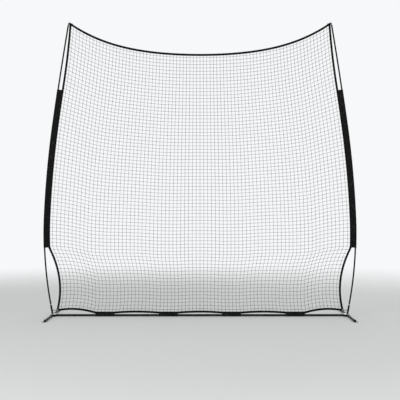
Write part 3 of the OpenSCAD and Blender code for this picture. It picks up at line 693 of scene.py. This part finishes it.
perGap = netting["pointsPerGap"]
strandsUp = [[netPoint(i, j / perGap) for j in range(netting["up"] * perGap + 1)]
             for i in range(netting["across"] + 1)]
strandsAcross = [[netPoint(i / perGap, j) for i in range(netting["across"] * perGap + 1)]
                 for j in range(netting["up"] + 1)]
for name, strands in (("netTwineUp", strandsUp), ("netTwineAcross", strandsAcross)):
    piece = tubeAlong(name, strands, netting["twine"], 6, angle=80, joined=1e-6)
    settle(piece, "black_twine", ("net",))


def knotPattern():  # a squat knot with a waist, from one small ball
    ball = added("knot", bpy.ops.mesh.primitive_uv_sphere_add, segments=8, ring_count=4,
                 radius=netting["knot"])
    for vertex in ball.data.vertices:
        x, y, z = vertex.co
        lobe = 1
        if math.hypot(x, z) > 1e-6:
            lobe += netting["lobes"] * math.cos(4 * math.atan2(x, z))
        vertex.co = (x * lobe, y * netting["flat"], z * lobe)
    return ball


knot = knotPattern()
draws = random.Random(netting["seed"])
knotRows = {"netKnotsLower": (1, netting["upperFrom"]),
            "netKnotsUpper": (netting["upperFrom"], netting["up"])}
for name, (low, high) in knotRows.items():
    places = []
    for j in range(low, high):
        for i in range(1, netting["across"]):
            turn = Matrix.Rotation(draws.uniform(-netting["knotTurn"], netting["knotTurn"]), 4, "Y")
            size = Matrix.Scale(draws.uniform(1 - netting["knotVary"], 1 + netting["knotVary"]), 4)
            places.append(Matrix.Translation(netPoint(i, j)) @ (turn @ size))
    settle(repeated(name, knot, places), "black_twine", ("net",))
bpy.data.objects.remove(knot)
print("net made:", len(strandsUp) + len(strandsAcross), "strands")


# Border: folded webbing round the net, with two rows of stitches

webbing = {"acrossSteps": 156, "upSteps": 150, "lines": (-0.0125, -0.0095, -0.005, 0, 0.005, 0.0095, 0.0125),
           "seams": (-0.0102, -0.0076), "round": 0.0011, "wave": 0.0016, "waveScale": 7, "twist": 0.10,
           "twistSlower": 0.6, "quiet": 0.07, "nearCorner": 0.05, "nearPocket": 0.01, "nearSleeve": 0.02}
borderAcross = spread(webbing["acrossSteps"])
borderUp = spread(webbing["upSteps"])
borderMiddle = edgeLine(borderAcross, borderUp)
borderLines = {offset: grown(borderMiddle, offset) for offset in webbing["lines"] + webbing["seams"]}
borderLength = lengthsAlong(borderMiddle + borderMiddle[:1])


def easy(distance):  # 0 at a sewn place, 1 well away from it
    t = max(0, min(1, distance / webbing["quiet"]))
    return t * t * (3 - 2 * t)


def freedom(point, edge):  # how far the webbing may leave the net's plane, 0 to 1
    rightPoint = mirroredPoint(point) if point.x < 0 else point
    toCorner = min((rightPoint - corner).length for corner in (bottomCorner, topCorner))
    free = easy(toCorner - webbing["nearCorner"])
    if edge == "Bottom":
        free *= easy(fromPocket(point.x) - webbing["nearPocket"])
    elif edge != "Top":
        toSleeve = max(sleeveFoot.y - point.y, point.y - sleeveHead.y)
        free *= easy(toSleeve - webbing["nearSleeve"])
    return free


def borderPoint(k, offset, edge, lift=0.0):
    k %= len(borderMiddle)
    middle = borderMiddle[k]
    seed = Vector((middle.x * webbing["waveScale"], edge == "Top", middle.y * webbing["waveScale"]))
    twist = webbing["twist"] * noise.noise(seed * webbing["twistSlower"])
    sway = webbing["wave"] * noise.noise(seed) + twist * offset
    return standing(borderLines[offset][k], freedom(middle, edge) * sway + lift)


acrossCount, upCount = len(borderAcross) - 1, len(borderUp) - 1
borderRuns = {"Bottom": (0, acrossCount), "Right": (acrossCount, upCount),
              "Top": (acrossCount + upCount, acrossCount), "Left": (2 * acrossCount + upCount, upCount)}
for edge, (first, count) in borderRuns.items():
    lines = webbing["lines"]
    piece = clothGrid("border" + edge, count, len(lines) - 1,
                      lambda i, j: borderPoint(first + i, lines[j], edge),
                      lambda i, j: (borderLength[first + i], lines[j]))
    thicken(piece, plan["borderThick"], webbing["round"])
    settle(piece, "black_webbing", ("border_" + edge.lower(),))
    runs = []
    for offset in webbing["seams"]:
        for way in (front, back):
            lift = way.y * (plan["borderThick"] / 2 + stitch["proud"])
            line = [borderPoint(first + i, offset, edge, lift) for i in range(1, count)]
            runs.append((line, [way] * len(line)))
    sewn("stitches" + edge, runs)
print("border made")


# Folds that slant across cloth where it is pulled, on the sleeves and the pockets

pulls = {"shift": (-0.35, 0.35), "slant": (0.5, 1.9), "halfWidth": (0.0045, 0.0085), "share": (0.25, 1.0),
         "uneven": 1.5, "curve": 9, "sharp": 1.4}


def pullFolds(seed, length, count, tall):  # each fold is (place, slant, half width, height)
    draws = random.Random(seed)
    folds = []
    for k in range(count):
        place = length * (k + 0.5 + draws.uniform(*pulls["shift"])) / count
        slant = draws.choice((-1, 1)) * draws.uniform(*pulls["slant"])
        width = draws.uniform(*pulls["halfWidth"])
        folds.append((place, slant, width, tall * draws.uniform(*pulls["share"]) ** pulls["uneven"]))
    return folds


def pulledUp(folds, along, across):  # the folds' height at a spot; across counts from the cloth's middle
    height = 0
    for place, slant, width, tall in folds:
        away = abs(along - place - slant * across * (1 + pulls["curve"] * across)) / math.hypot(1, slant)
        if away < width:
            height = max(height, tall * (1 - away / width) ** pulls["sharp"])
    return height


def ramp(distance, reach):  # 0 to 1 over a reach
    return max(0, min(1, distance / reach))


# Pole sleeves: two layers of cloth round the pole, sewn to both faces of the border

sleeve = {"cloth": 0.0011, "round": 0.01145, "leavesPole": -0.16, "roundSteps": 11, "layerSteps": 14,
          "even": 0.65, "pastEdge": 0.0015, "hemOver": 0.0100, "hemSteps": 3, "hemProud": 0.00005,
          "hem": 0.022, "hemThick": 0.0005, "hemSeam": 0.004, "step": 0.0042, "fold": 0.0011,
          "foldEvery": 0.16, "foldSlant": 0.05, "gather": 0.8, "gatherReach": 0.05, "pull": 0.0030,
          "pulls": 17, "pucker": 0.0007, "puckerFrom": 0.004, "puckerReach": 0.007, "ripple": 0.0003,
          "rippleUpTo": -0.008, "looseFrom": -0.004, "borderEase": 0.001, "looseOver": 0.010,
          "leastDepth": 0.0009, "pocketSeam": -0.0165, "pitch": 0.0060}
edgeAt = -plan["sleeveIn"] + plan["borderWidth"] / 2  # the border's outer edge, from the pole's axis


def sleeveOutline():  # (out, depth) of one layer from the round of the pole to the border, then mirrored
    layer = arc(sleeve["round"], 0, math.acos(sleeve["leavesPole"]), sleeve["roundSteps"])
    startOut, startDepth = layer[-1]
    lastOut, lastDepth = edgeAt + sleeve["pastEdge"], (plan["borderThick"] + sleeve["cloth"]) / 2
    for k in range(1, sleeve["layerSteps"] + 1):
        t = k / sleeve["layerSteps"]
        eased = sleeve["even"] * t + (1 - sleeve["even"]) * t * t * (3 - 2 * t)
        layer.append((startOut + (lastOut - startOut) * t, startDepth + (lastDepth - startDepth) * eased))
    for k in range(1, sleeve["hemSteps"] + 1):
        over = (sleeve["pastEdge"] + sleeve["hemOver"]) * k / sleeve["hemSteps"]
        layer.append((lastOut - over, lastDepth + sleeve["hemProud"]))
    return [(out, -depth) for out, depth in reversed(layer)] + layer[1:]


outline = sleeveOutline()
outlineLength = lengthsAlong(outline)
sleevePulls = {}
for side, face in ((1, 1), (1, -1), (-1, 1), (-1, -1)):
    seed = 20 + 3 * side + face
    sleevePulls[side, face] = pullFolds(seed, plan["sleeveLen"], sleeve["pulls"], sleeve["pull"])
sleeveMiddle = (sleeve["round"] * sleeve["leavesPole"] + edgeAt) / 2


def looseness(out):  # 0 where the cloth lies on the pole or the border, 1 between them
    offPole = ramp(sleeve["looseFrom"] - out, sleeve["looseOver"])
    return offPole * ramp(out - edgeAt + sleeve["borderEase"], sleeve["looseOver"])


def sleeveFolds(s, out, side, face):  # height of the folds and puckers of the loose cloth
    seed = side * 5 + face * 2.3
    end = min(s, plan["sleeveLen"] - s)
    gather = 1 + sleeve["gather"] * math.exp(-end / sleeve["gatherReach"])
    bend = noise.noise(Vector((s * 4, seed, 1)))
    wave = math.sin(2 * math.pi * (s / sleeve["foldEvery"] + out / sleeve["foldSlant"] * face + 1.6 * bend))
    strength = 0.5 + noise.noise(Vector((s * 3, seed, 7)))
    nearSeam = math.exp(-((out - edgeAt - sleeve["puckerFrom"]) / sleeve["puckerReach"]) ** 2)
    pucker = nearSeam * noise.noise(Vector((s * 75, out * 40, seed + 2)))
    pulled = pulledUp(sleevePulls[side, face], s, out - sleeveMiddle)
    return gather * sleeve["fold"] * wave * strength + sleeve["pucker"] * pucker + pulled


def sleevePoint(s, spot, side, lift=0.0):  # a point of the cloth, its way out and the pole's lean there
    out, depth = outline[spot]
    before, after = outline[max(spot - 1, 0)], outline[min(spot + 1, len(outline) - 1)]
    normal = squareOut(Vector(after) - Vector(before))
    face = 1 if depth > 0 else -1
    free = looseness(out)
    height = free * sleeveFolds(s, out, side, face)
    if out > sleeve["rippleUpTo"]:  # on the pole the cloth only ripples
        ripple = noise.noise(Vector((s * 40, out * 90, side * 5 + face * 2.3)))
        height += (1 - free) * sleeve["ripple"] * ripple
    if free > 0:
        height = max(height, sleeve["leastDepth"] - abs(depth))
    if min(s, plan["sleeveLen"] - s) < sleeve["hem"]:
        height += sleeve["hemThick"]
    out, depth = out + normal.x * (height + lift), depth + normal.y * (height + lift)
    point, lean = poleAt(plan["sleeveStart"] + s)
    place = point + out * outOfLean(lean)
    return Vector((side * place.x, depth, place.y)), normal, lean


def sleeveCrest(s, spot, side):  # how near a spot is to the crest of a slanting fold, 0 to 1
    out, depth = outline[spot]
    folds = sleevePulls[side, 1 if depth > 0 else -1]
    return looseness(out) * pulledUp(folds, s, out - sleeveMiddle) / sleeve["pull"]


def sleeveRun(side, spots):  # a stitch line over the cloth, from (distance up the sleeve, outline spot) pairs
    line, outs = [], []
    for s, spot in spots:
        place, normal, lean = sleevePoint(s, spot, side, sleeve["cloth"] / 2 + stitch["proud"])
        flat = normal.x * outOfLean(lean)
        line.append(place)
        outs.append(Vector((side * flat.x, normal.y, flat.y)))
    return line, outs


hem = sleeve["hem"]
hemSteps = [0, 0.003, hem - 0.004, hem - 0.0006, hem + 0.0002]  # close together where the hem ends
middleFrom, middleLen = hem + 0.004, plan["sleeveLen"] - 2 * (hem + 0.004)
middleCount = round(middleLen / sleeve["step"])
sleeveSteps = (hemSteps + [middleFrom + middleLen * k / middleCount for k in range(middleCount + 1)]
               + [plan["sleeveLen"] - s for s in reversed(hemSteps)])
lastSpot = len(outline) - 1
seamSpot = min(range(lastSpot // 2), key=lambda k: abs(outline[k][0] - sleeve["pocketSeam"]))
for side, sideName in sides:
    piece = clothGrid("poleSleeve" + sideName, len(sleeveSteps) - 1, lastSpot,
                      lambda i, j: sleevePoint(sleeveSteps[i], j, side)[0],
                      lambda i, j: (sleeveSteps[i], outlineLength[j]),
                      lambda i, j: sleeveCrest(sleeveSteps[i], j, side))
    thicken(piece, sleeve["cloth"], angle=60)
    settle(piece, "black_polyester", ("pole_sleeve_" + sideName.lower(),))
    runs = [sleeveRun(side, [(s, spot) for s in sleeveSteps[1:-1]])
            for spot in (1, lastSpot - 1, 2, lastSpot - 2, seamSpot, lastSpot - seamSpot)]
    for s in (hem - sleeve["hemSeam"], plan["sleeveLen"] - hem + sleeve["hemSeam"]):
        runs.append(sleeveRun(side, [(s, spot) for spot in range(1, lastSpot)]))
    sewn("stitchesSleeve" + sideName, runs, sleeve["pitch"])
print("sleeves made:", len(sleeveSteps), "steps each")


# Pockets: cloth wrapped round the base bar, both ends sewn to the border

pocket = {"cloth": 0.0011, "round": 0.0134, "flapTop": 0.0512, "flapProud": 0.00005, "neck": 0.0331,
          "meetsBar": 0.42, "flapSteps": 6, "roundSteps": 13, "fold": 0.0010, "tuck": 0.55, "pull": 0.0017,
          "pulls": 5, "looseFrom": 0.004, "looseOver": 0.010, "neckOver": 0.006, "fullOver": 0.02,
          "fullAtEnd": 0.35, "steps": 90, "hem": 0.012, "hemFrom": 0.006, "hemThick": 0.0003, "pitch": 0.0055}


def pocketOutline():  # (depth, height) from the front flap's top, round under the bar, to the back flap's top
    flapDepth = (plan["borderThick"] + pocket["cloth"]) / 2 + pocket["flapProud"]
    centre, start = plan["barHeight"], pocket["meetsBar"]
    flapLen = pocket["flapTop"] - pocket["neck"]
    half = [(flapDepth, pocket["flapTop"] - flapLen * k / pocket["flapSteps"])
            for k in range(pocket["flapSteps"] + 1)]
    barDepth, barHeight = pocket["round"] * math.sin(start), centre + pocket["round"] * math.cos(start)
    for t in (0.35, 0.7):  # from the neck down to the bar
        half.append((flapDepth + (barDepth - flapDepth) * t * t,
                     pocket["neck"] + (barHeight - pocket["neck"]) * t))
    underBar = arc(pocket["round"], start, math.pi, pocket["roundSteps"])
    half += [(depth, centre + up) for up, depth in underBar]
    return [(-depth, height) for depth, height in half] + half[-2::-1]


pocketLine = pocketOutline()
pocketLength = lengthsAlong(pocketLine)
pocketMiddle = (pocket["neck"] + pocket["looseFrom"]) / 2
pocketCentres = {part + sideName: side * share * plan["pocketSpacing"]
                 for side, sideName in sides for part, share in (("Inner", 0.5), ("Outer", 1.5))}
pocketPulls = {}
for centre in pocketCentres.values():
    for isBack in (False, True):
        seed = 60 + round(centre * 10) + isBack
        pocketPulls[centre, isBack] = pullFolds(seed, plan["pocketLen"], pocket["pulls"], pocket["pull"])


def pocketPull(x, spot, centre):  # how loose the cloth is there, and the height of its slanting folds
    depth, height = pocketLine[spot]
    loose = ramp(pocket["neck"] - height, pocket["neckOver"])
    loose *= ramp(height - pocket["looseFrom"], pocket["looseOver"])
    return loose, pulledUp(pocketPulls[centre, depth > 0], x + plan["pocketLen"] / 2, height - pocketMiddle)


def sharpTuck(x, y, z):  # narrow tucks from smooth noise
    return (1 - min(1, abs(noise.noise(Vector((x, y, z)))) * 3.2)) ** 2


def pocketPoint(x, spot, centre, lift=0.0):
    depth, height = pocketLine[spot]
    before, after = pocketLine[max(spot - 1, 0)], pocketLine[min(spot + 1, len(pocketLine) - 1)]
    normal = -squareOut(Vector(before) - Vector(after))
    loose, pulled = pocketPull(x, spot, centre)
    fromEnd = plan["pocketLen"] / 2 - abs(x)
    fullness = min(1, fromEnd / pocket["fullOver"] + pocket["fullAtEnd"])
    seed = centre * 9
    puff = 0.5 + 0.5 * noise.noise(Vector(((x + seed) * 22, height * 55, depth * 40)))
    tuck = sharpTuck((x + seed) * 26, height * 30, seed + (depth > 0))
    move = loose * (pocket["fold"] * (puff * fullness + pocket["tuck"] * tuck) + pulled)
    if fromEnd < pocket["hem"] and height > pocket["hemFrom"]:
        move += pocket["hemThick"]
    return Vector((centre + x, depth + normal.x * (move + lift), height + normal.y * (move + lift))), normal


def pocketCrest(x, spot, centre):  # how near a spot is to the crest of a slanting fold, 0 to 1
    loose, pulled = pocketPull(x, spot, centre)
    return loose * pulled / pocket["pull"]


def pocketRun(centre, spots):  # a stitch line over the cloth, from (x, outline spot) pairs
    points = [pocketPoint(x, spot, centre, pocket["cloth"] / 2 + stitch["proud"]) for x, spot in spots]
    return [place for place, _ in points], [Vector((0, normal.x, normal.y)) for _, normal in points]


pocketSteps = [plan["pocketLen"] * (k / pocket["steps"] - 0.5) for k in range(pocket["steps"] + 1)]
lastSpot = len(pocketLine) - 1
for pocketName, centre in pocketCentres.items():
    piece = clothGrid("basePocket" + pocketName, len(pocketSteps) - 1, lastSpot,
                      lambda i, j: pocketPoint(pocketSteps[i], j, centre)[0],
                      lambda i, j: (pocketSteps[i], pocketLength[j]),
                      lambda i, j: pocketCrest(pocketSteps[i], j, centre))
    thicken(piece, pocket["cloth"], angle=60)
    settle(piece, "black_polyester", ("base_pockets_" + pocketName[5:].lower(),))
    runs = []
    for low, high in ((1, 5), (lastSpot - 5, lastSpot - 1)):  # a box of stitches on each flap
        runs += [pocketRun(centre, [(x, spot) for x in pocketSteps[2:-2]]) for spot in (low, high)]
        runs += [pocketRun(centre, [(x, spot) for spot in range(low, high + 1)])
                 for x in (pocketSteps[2], pocketSteps[-3])]
    sewn("stitchesPocket" + pocketName, runs, pocket["pitch"])
print("pockets made:", len(pocketCentres))


# Corners: a loop over each tip pin, and at the foot a patch on each face, an elastic loop and a weld bead

loop = {"height": 0.020, "thick": 0.0019, "edge": 0.0006, "depth": 0.0025, "round": 0.0043, "hold": 0.026,
        "straightSteps": 12, "turnSteps": 20, "rows": 6, "seamIn": 0.003, "seamEnd": -0.012, "pitch": 0.0048}
loopEnd = -plan["loopReach"] - loop["hold"]  # the loop's sewn end, from the pole's axis


def loopOutline():  # (out, depth) of the loop's webbing round the tip pin
    start = math.acos(-math.sqrt(1 - (loop["depth"] / loop["round"]) ** 2))
    straightLen = loop["round"] * math.cos(start) - loopEnd
    straight = [(loopEnd + straightLen * k / loop["straightSteps"], loop["depth"])
                for k in range(loop["straightSteps"])]
    bend = arc(loop["round"], start, -start, loop["turnSteps"])
    return straight + bend + [(out, -depth) for out, depth in reversed(straight)]


loopLine = loopOutline()
loopLength = lengthsAlong(loopLine)
loopFoot, loopLean = poleAt(plan["loopAt"])


def onLoop(out, depth, height, side):
    place = loopFoot + out * outOfLean(loopLean) + height * alongLean(loopLean)
    return Vector((side * place.x, depth, place.y))


def cornerLoop(side, sideName):
    rows = loop["rows"]
    piece = clothGrid("cornerLoop" + sideName, len(loopLine) - 1, rows,
                      lambda i, j: onLoop(*loopLine[i], loop["height"] * (j / rows - 0.5), side),
                      lambda i, j: (loopLength[i], loop["height"] * (j / rows - 0.5)))
    thicken(piece, loop["thick"], loop["edge"])
    settle(piece, "black_webbing", ("corner_loop_" + sideName.lower(),))
    low, high, top = loopEnd + loop["seamIn"], loop["seamEnd"], loop["height"] / 2 - loop["seamIn"]
    crossedBox = [(low, -top), (high, -top), (high, top), (low, top), (low, -top), (high, top), (high, -top),
                  (low, top)]
    runs = []
    for way in (front, back):
        depth = way.y * (loop["depth"] + loop["thick"] / 2 + stitch["proud"])
        line = [onLoop(out, depth, height, side) for out, height in crossedBox]
        runs.append((line, [way] * len(line)))
    sewn("stitchesLoop" + sideName, runs, loop["pitch"])


patch = {"radius": 0.012, "hole": 0.00535, "thick": 0.001, "edge": 0.0003, "seam": 0.0105, "seamSteps": 48,
         "pitch": 0.0042}


def cornerPatch(side, way, name):  # a round patch with a hole for the eyelet, sewn round its rim
    depth = way.y * (plan["borderThick"] + patch["thick"]) / 2
    middle = Vector((side * bottomCorner.x, depth, bottomCorner.y))
    piece = added("cornerPatch" + name, bpy.ops.mesh.primitive_circle_add, vertices=64,
                  radius=patch["radius"], rotation=(math.pi / 2, 0, 0), location=middle)
    bpy.ops.object.transform_apply(location=True, rotation=True)
    bpy.ops.object.mode_set(mode="EDIT")
    share = patch["hole"] / patch["radius"]
    bpy.ops.mesh.extrude_edges_move()
    bpy.ops.transform.resize(value=(share, 1, share), center_override=middle)
    bpy.ops.mesh.select_all(action="SELECT")
    bpy.ops.mesh.subdivide(number_cuts=1)
    bpy.ops.object.mode_set(mode="OBJECT")
    clothMap = piece.data.uv_layers.new(name="clothMap")
    for corner in piece.data.loops:
        clothMap.data[corner.index].uv = piece.data.vertices[corner.vertex_index].co.xz
    thicken(piece, patch["thick"], patch["edge"])
    settle(piece, "black_webbing", ("corner_patches",))
    proud = middle + way * (patch["thick"] / 2 + stitch["proud"])
    ring = [proud + Vector((x, 0, z)) for x, z in arc(patch["seam"], 0, 2 * math.pi, patch["seamSteps"])]
    sewn("stitchesPatch" + name, [(ring, [way] * len(ring))], patch["pitch"])


elastic = {"radius": 0.0025, "halfWidth": 0.008, "endSteps": 16}


def elasticLoop(side, sideName):  # a closed run of cord between the eyelet and the hook
    nodeName = "elastic_loop_" + sideName.lower()
    near, far = sorted(abs(corner.x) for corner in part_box(nodeName))
    ends = elastic["halfWidth"] + elastic["radius"]
    bend = arc(elastic["halfWidth"], 0, math.pi, elastic["endSteps"])
    flat = [(far - ends + over, y) for y, over in bend] + [(near + ends - over, -y) for y, over in bend]
    line = [Vector((side * x, y, plan["cornerUp"])) for x, y in flat]
    piece = tubeAlong("elasticLoop" + sideName, [line], elastic["radius"], 14, closed=True)
    settle(piece, "elastic_cord", (nodeName,))


weld = {"socket": 0.0112, "bead": 0.0017, "scallops": 26, "perScallop": 4, "shrink": 0.28, "up": 0.0004}


def weldBead(side, sideName):  # where the pole socket meets the bracket
    circle = arc(weld["socket"], 0, 2 * math.pi, weld["scallops"] * weld["perScallop"])[:-1]
    longer = 1 / math.cos(math.radians(plan["poleLean"]))  # a leaning socket meets the plate in an oval
    height = plan["plateTop"] + weld["up"]
    ring = [Vector((side * (plan["pivotX"] + x * longer), y, height)) for x, y in circle]
    piece = tubeAlong("weldBead" + sideName, [ring], weld["bead"], 8, closed=True,
                      swell=lambda k: 1 - weld["shrink"] * (k % weld["perScallop"]) / weld["perScallop"])
    settle(piece, "black_steel")


for side, sideName in sides:
    cornerLoop(side, sideName)
    cornerPatch(side, front, "Front" + sideName)
    cornerPatch(side, back, "Back" + sideName)
    elasticLoop(side, sideName)
    weldBead(side, sideName)
print("corner pieces made")


# Springs: a strip bent to a V under each snap button, made as a still mesh; on the real spring the upper arm
# gives as the button goes down

leaf = {"thick": 0.0007, "width": 0.0078, "bend": 0.0024, "underButton": 0.010, "edge": 0.00012,
        "bendSteps": 12, "armSteps": 12, "stillBelow": 0.001, "stillAbove": 0.0005}


def selectEdgeAt(piece, x, z):  # the strip's edge at a place, to extrude or spin it on
    bpy.ops.mesh.select_all(action="DESELECT")
    bpy.ops.object.mode_set(mode="OBJECT")
    for vertex in piece.data.vertices:
        vertex.select = abs(vertex.co.x - x) < 1e-5 and abs(vertex.co.z - z) < 1e-5
    bpy.ops.object.mode_set(mode="EDIT")


def buttonSpring(side, sideName):
    nodeName = "button_spring_" + sideName.lower()
    lowest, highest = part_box(nodeName)
    near, far = sorted((abs(lowest.x), abs(highest.x)))
    low, high = lowest.z + leaf["thick"] / 2, highest.z - leaf["thick"] / 2
    centreX, centreZ = near + leaf["thick"] / 2 + leaf["bend"], low + leaf["bend"]
    landing = far - leaf["underButton"]
    slope = 0.3  # a first guess at the slope of the upper arm, from the bend to the landing
    for _ in range(8):
        armX, armZ = centreX - leaf["bend"] * math.sin(slope), centreZ + leaf["bend"] * math.cos(slope)
        slope = math.atan2(high - armZ, landing - armX)
    piece = added("buttonSpring" + sideName, bpy.ops.mesh.primitive_plane_add, size=1,
                  location=(side * (centreX + far) / 2, 0, low))
    bpy.ops.transform.resize(value=(far - centreX, leaf["width"], 1))
    bpy.ops.object.transform_apply(location=True, scale=True)
    bpy.ops.object.mode_set(mode="EDIT")
    bpy.ops.mesh.select_mode(type="VERT")
    selectEdgeAt(piece, side * centreX, low)
    bpy.ops.mesh.spin(steps=leaf["bendSteps"], angle=side * (slope - math.pi),
                      center=(side * centreX, 0, centreZ), axis=(0, 1, 0))
    arm = [(armX + (landing - armX) * k / leaf["armSteps"], armZ + (high - armZ) * k / leaf["armSteps"])
           for k in range(leaf["armSteps"] + 1)] + [(far, high)]
    for (fromX, fromZ), (toX, toZ) in zip(arm, arm[1:]):
        bpy.ops.mesh.extrude_edges_move(
            TRANSFORM_OT_translate={"value": (side * (toX - fromX), 0, toZ - fromZ)})
    bpy.ops.object.mode_set(mode="OBJECT")
    tidyMesh(piece, joined=1e-6)
    thicken(piece, leaf["thick"], leaf["edge"])
    settle(piece, "zinc_steel", (nodeName,), body=None)
    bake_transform(piece)


for side, sideName in sides:
    buttonSpring(side, sideName)
print("springs made")


# Floor and light

studio = {"floorLight": rgb(0.74, 0.745, 0.74), "floorDark": rgb(0.71, 0.715, 0.71), "speck": 40,
          "sky": rgb(0.93, 0.94, 0.95), "skyStrength": 0.62, "key": 230, "fill": 80, "rim": 130,
          "fadeFrom": 3.2, "fadeTo": 9.5}
floor = added("floor", bpy.ops.mesh.primitive_circle_add, vertices=128, radius=studio["fadeTo"] + 0.5,
              fill_type="NGON", location=(0, 0, 0))
floorFinish = Finish("floorPaint", {"Roughness": 0.9, "Specular IOR Level": 0.2})
floorPlace = floorFinish.place()
speck = floorFinish.grain(floorPlace, studio["speck"], 4)
floorFinish.feed("Base Color", floorFinish.blend(speck, studio["floorLight"], studio["floorDark"]))
floorX, floorY, _ = floorFinish.parts(floorPlace)
fromMiddle = (floorX * floorX + floorY * floorY) ** 0.5
floorFinish.feed("Alpha", floorFinish.node(
    "MapRange", {"interpolation_type": "SMOOTHSTEP"},
    {0: fromMiddle, 1: studio["fadeFrom"], 2: studio["fadeTo"], 3: 1.0, 4: 0.0}))
floor.data.materials.append(floorFinish.material)


def softLamp(name, place, aim, width, power):
    lampData = bpy.data.lights.new(name, "AREA")
    lampData.shape = "DISK"
    lampData.size = width
    lampData.energy = power
    lamp = placed(name, lampData, place)
    lamp.rotation_euler = (Vector(aim) - Vector(place)).to_track_quat("-Z", "Y").to_euler()


softLamp("keyLamp", (-4.5, -7, 7), (0, 0, 1.5), 4, studio["key"])
softLamp("fillLamp", (6, -6, 4), (0, 0, 1.6), 5, studio["fill"])
softLamp("rimLamp", (3, 7, 6), (0, 0, 1.8), 4, studio["rim"])

world = bpy.data.worlds.new("studio")
bpy.context.scene.world = world
world.use_nodes = True
air = world.node_tree
air.nodes.clear()


def glow(strength):
    made = air.nodes.new("ShaderNodeBackground")
    made.inputs["Color"].default_value = studio["sky"]
    made.inputs["Strength"].default_value = strength
    return made


# the camera and glossy surfaces see a white backdrop, and the light is softer than that
lightPath = air.nodes.new("ShaderNodeLightPath")
seen = air.nodes.new("ShaderNodeMath")
seen.operation = "MAXIMUM"
air.links.new(lightPath.outputs["Is Camera Ray"], seen.inputs[0])
air.links.new(lightPath.outputs["Is Glossy Ray"], seen.inputs[1])
choice = air.nodes.new("ShaderNodeMixShader")
air.links.new(seen.outputs[0], choice.inputs[0])
air.links.new(glow(studio["skyStrength"]).outputs[0], choice.inputs[1])
air.links.new(glow(1.0).outputs[0], choice.inputs[2])
air.links.new(choice.outputs[0], air.nodes.new("ShaderNodeOutputWorld").inputs[0])
bpy.context.scene.view_settings.view_transform = "Standard"
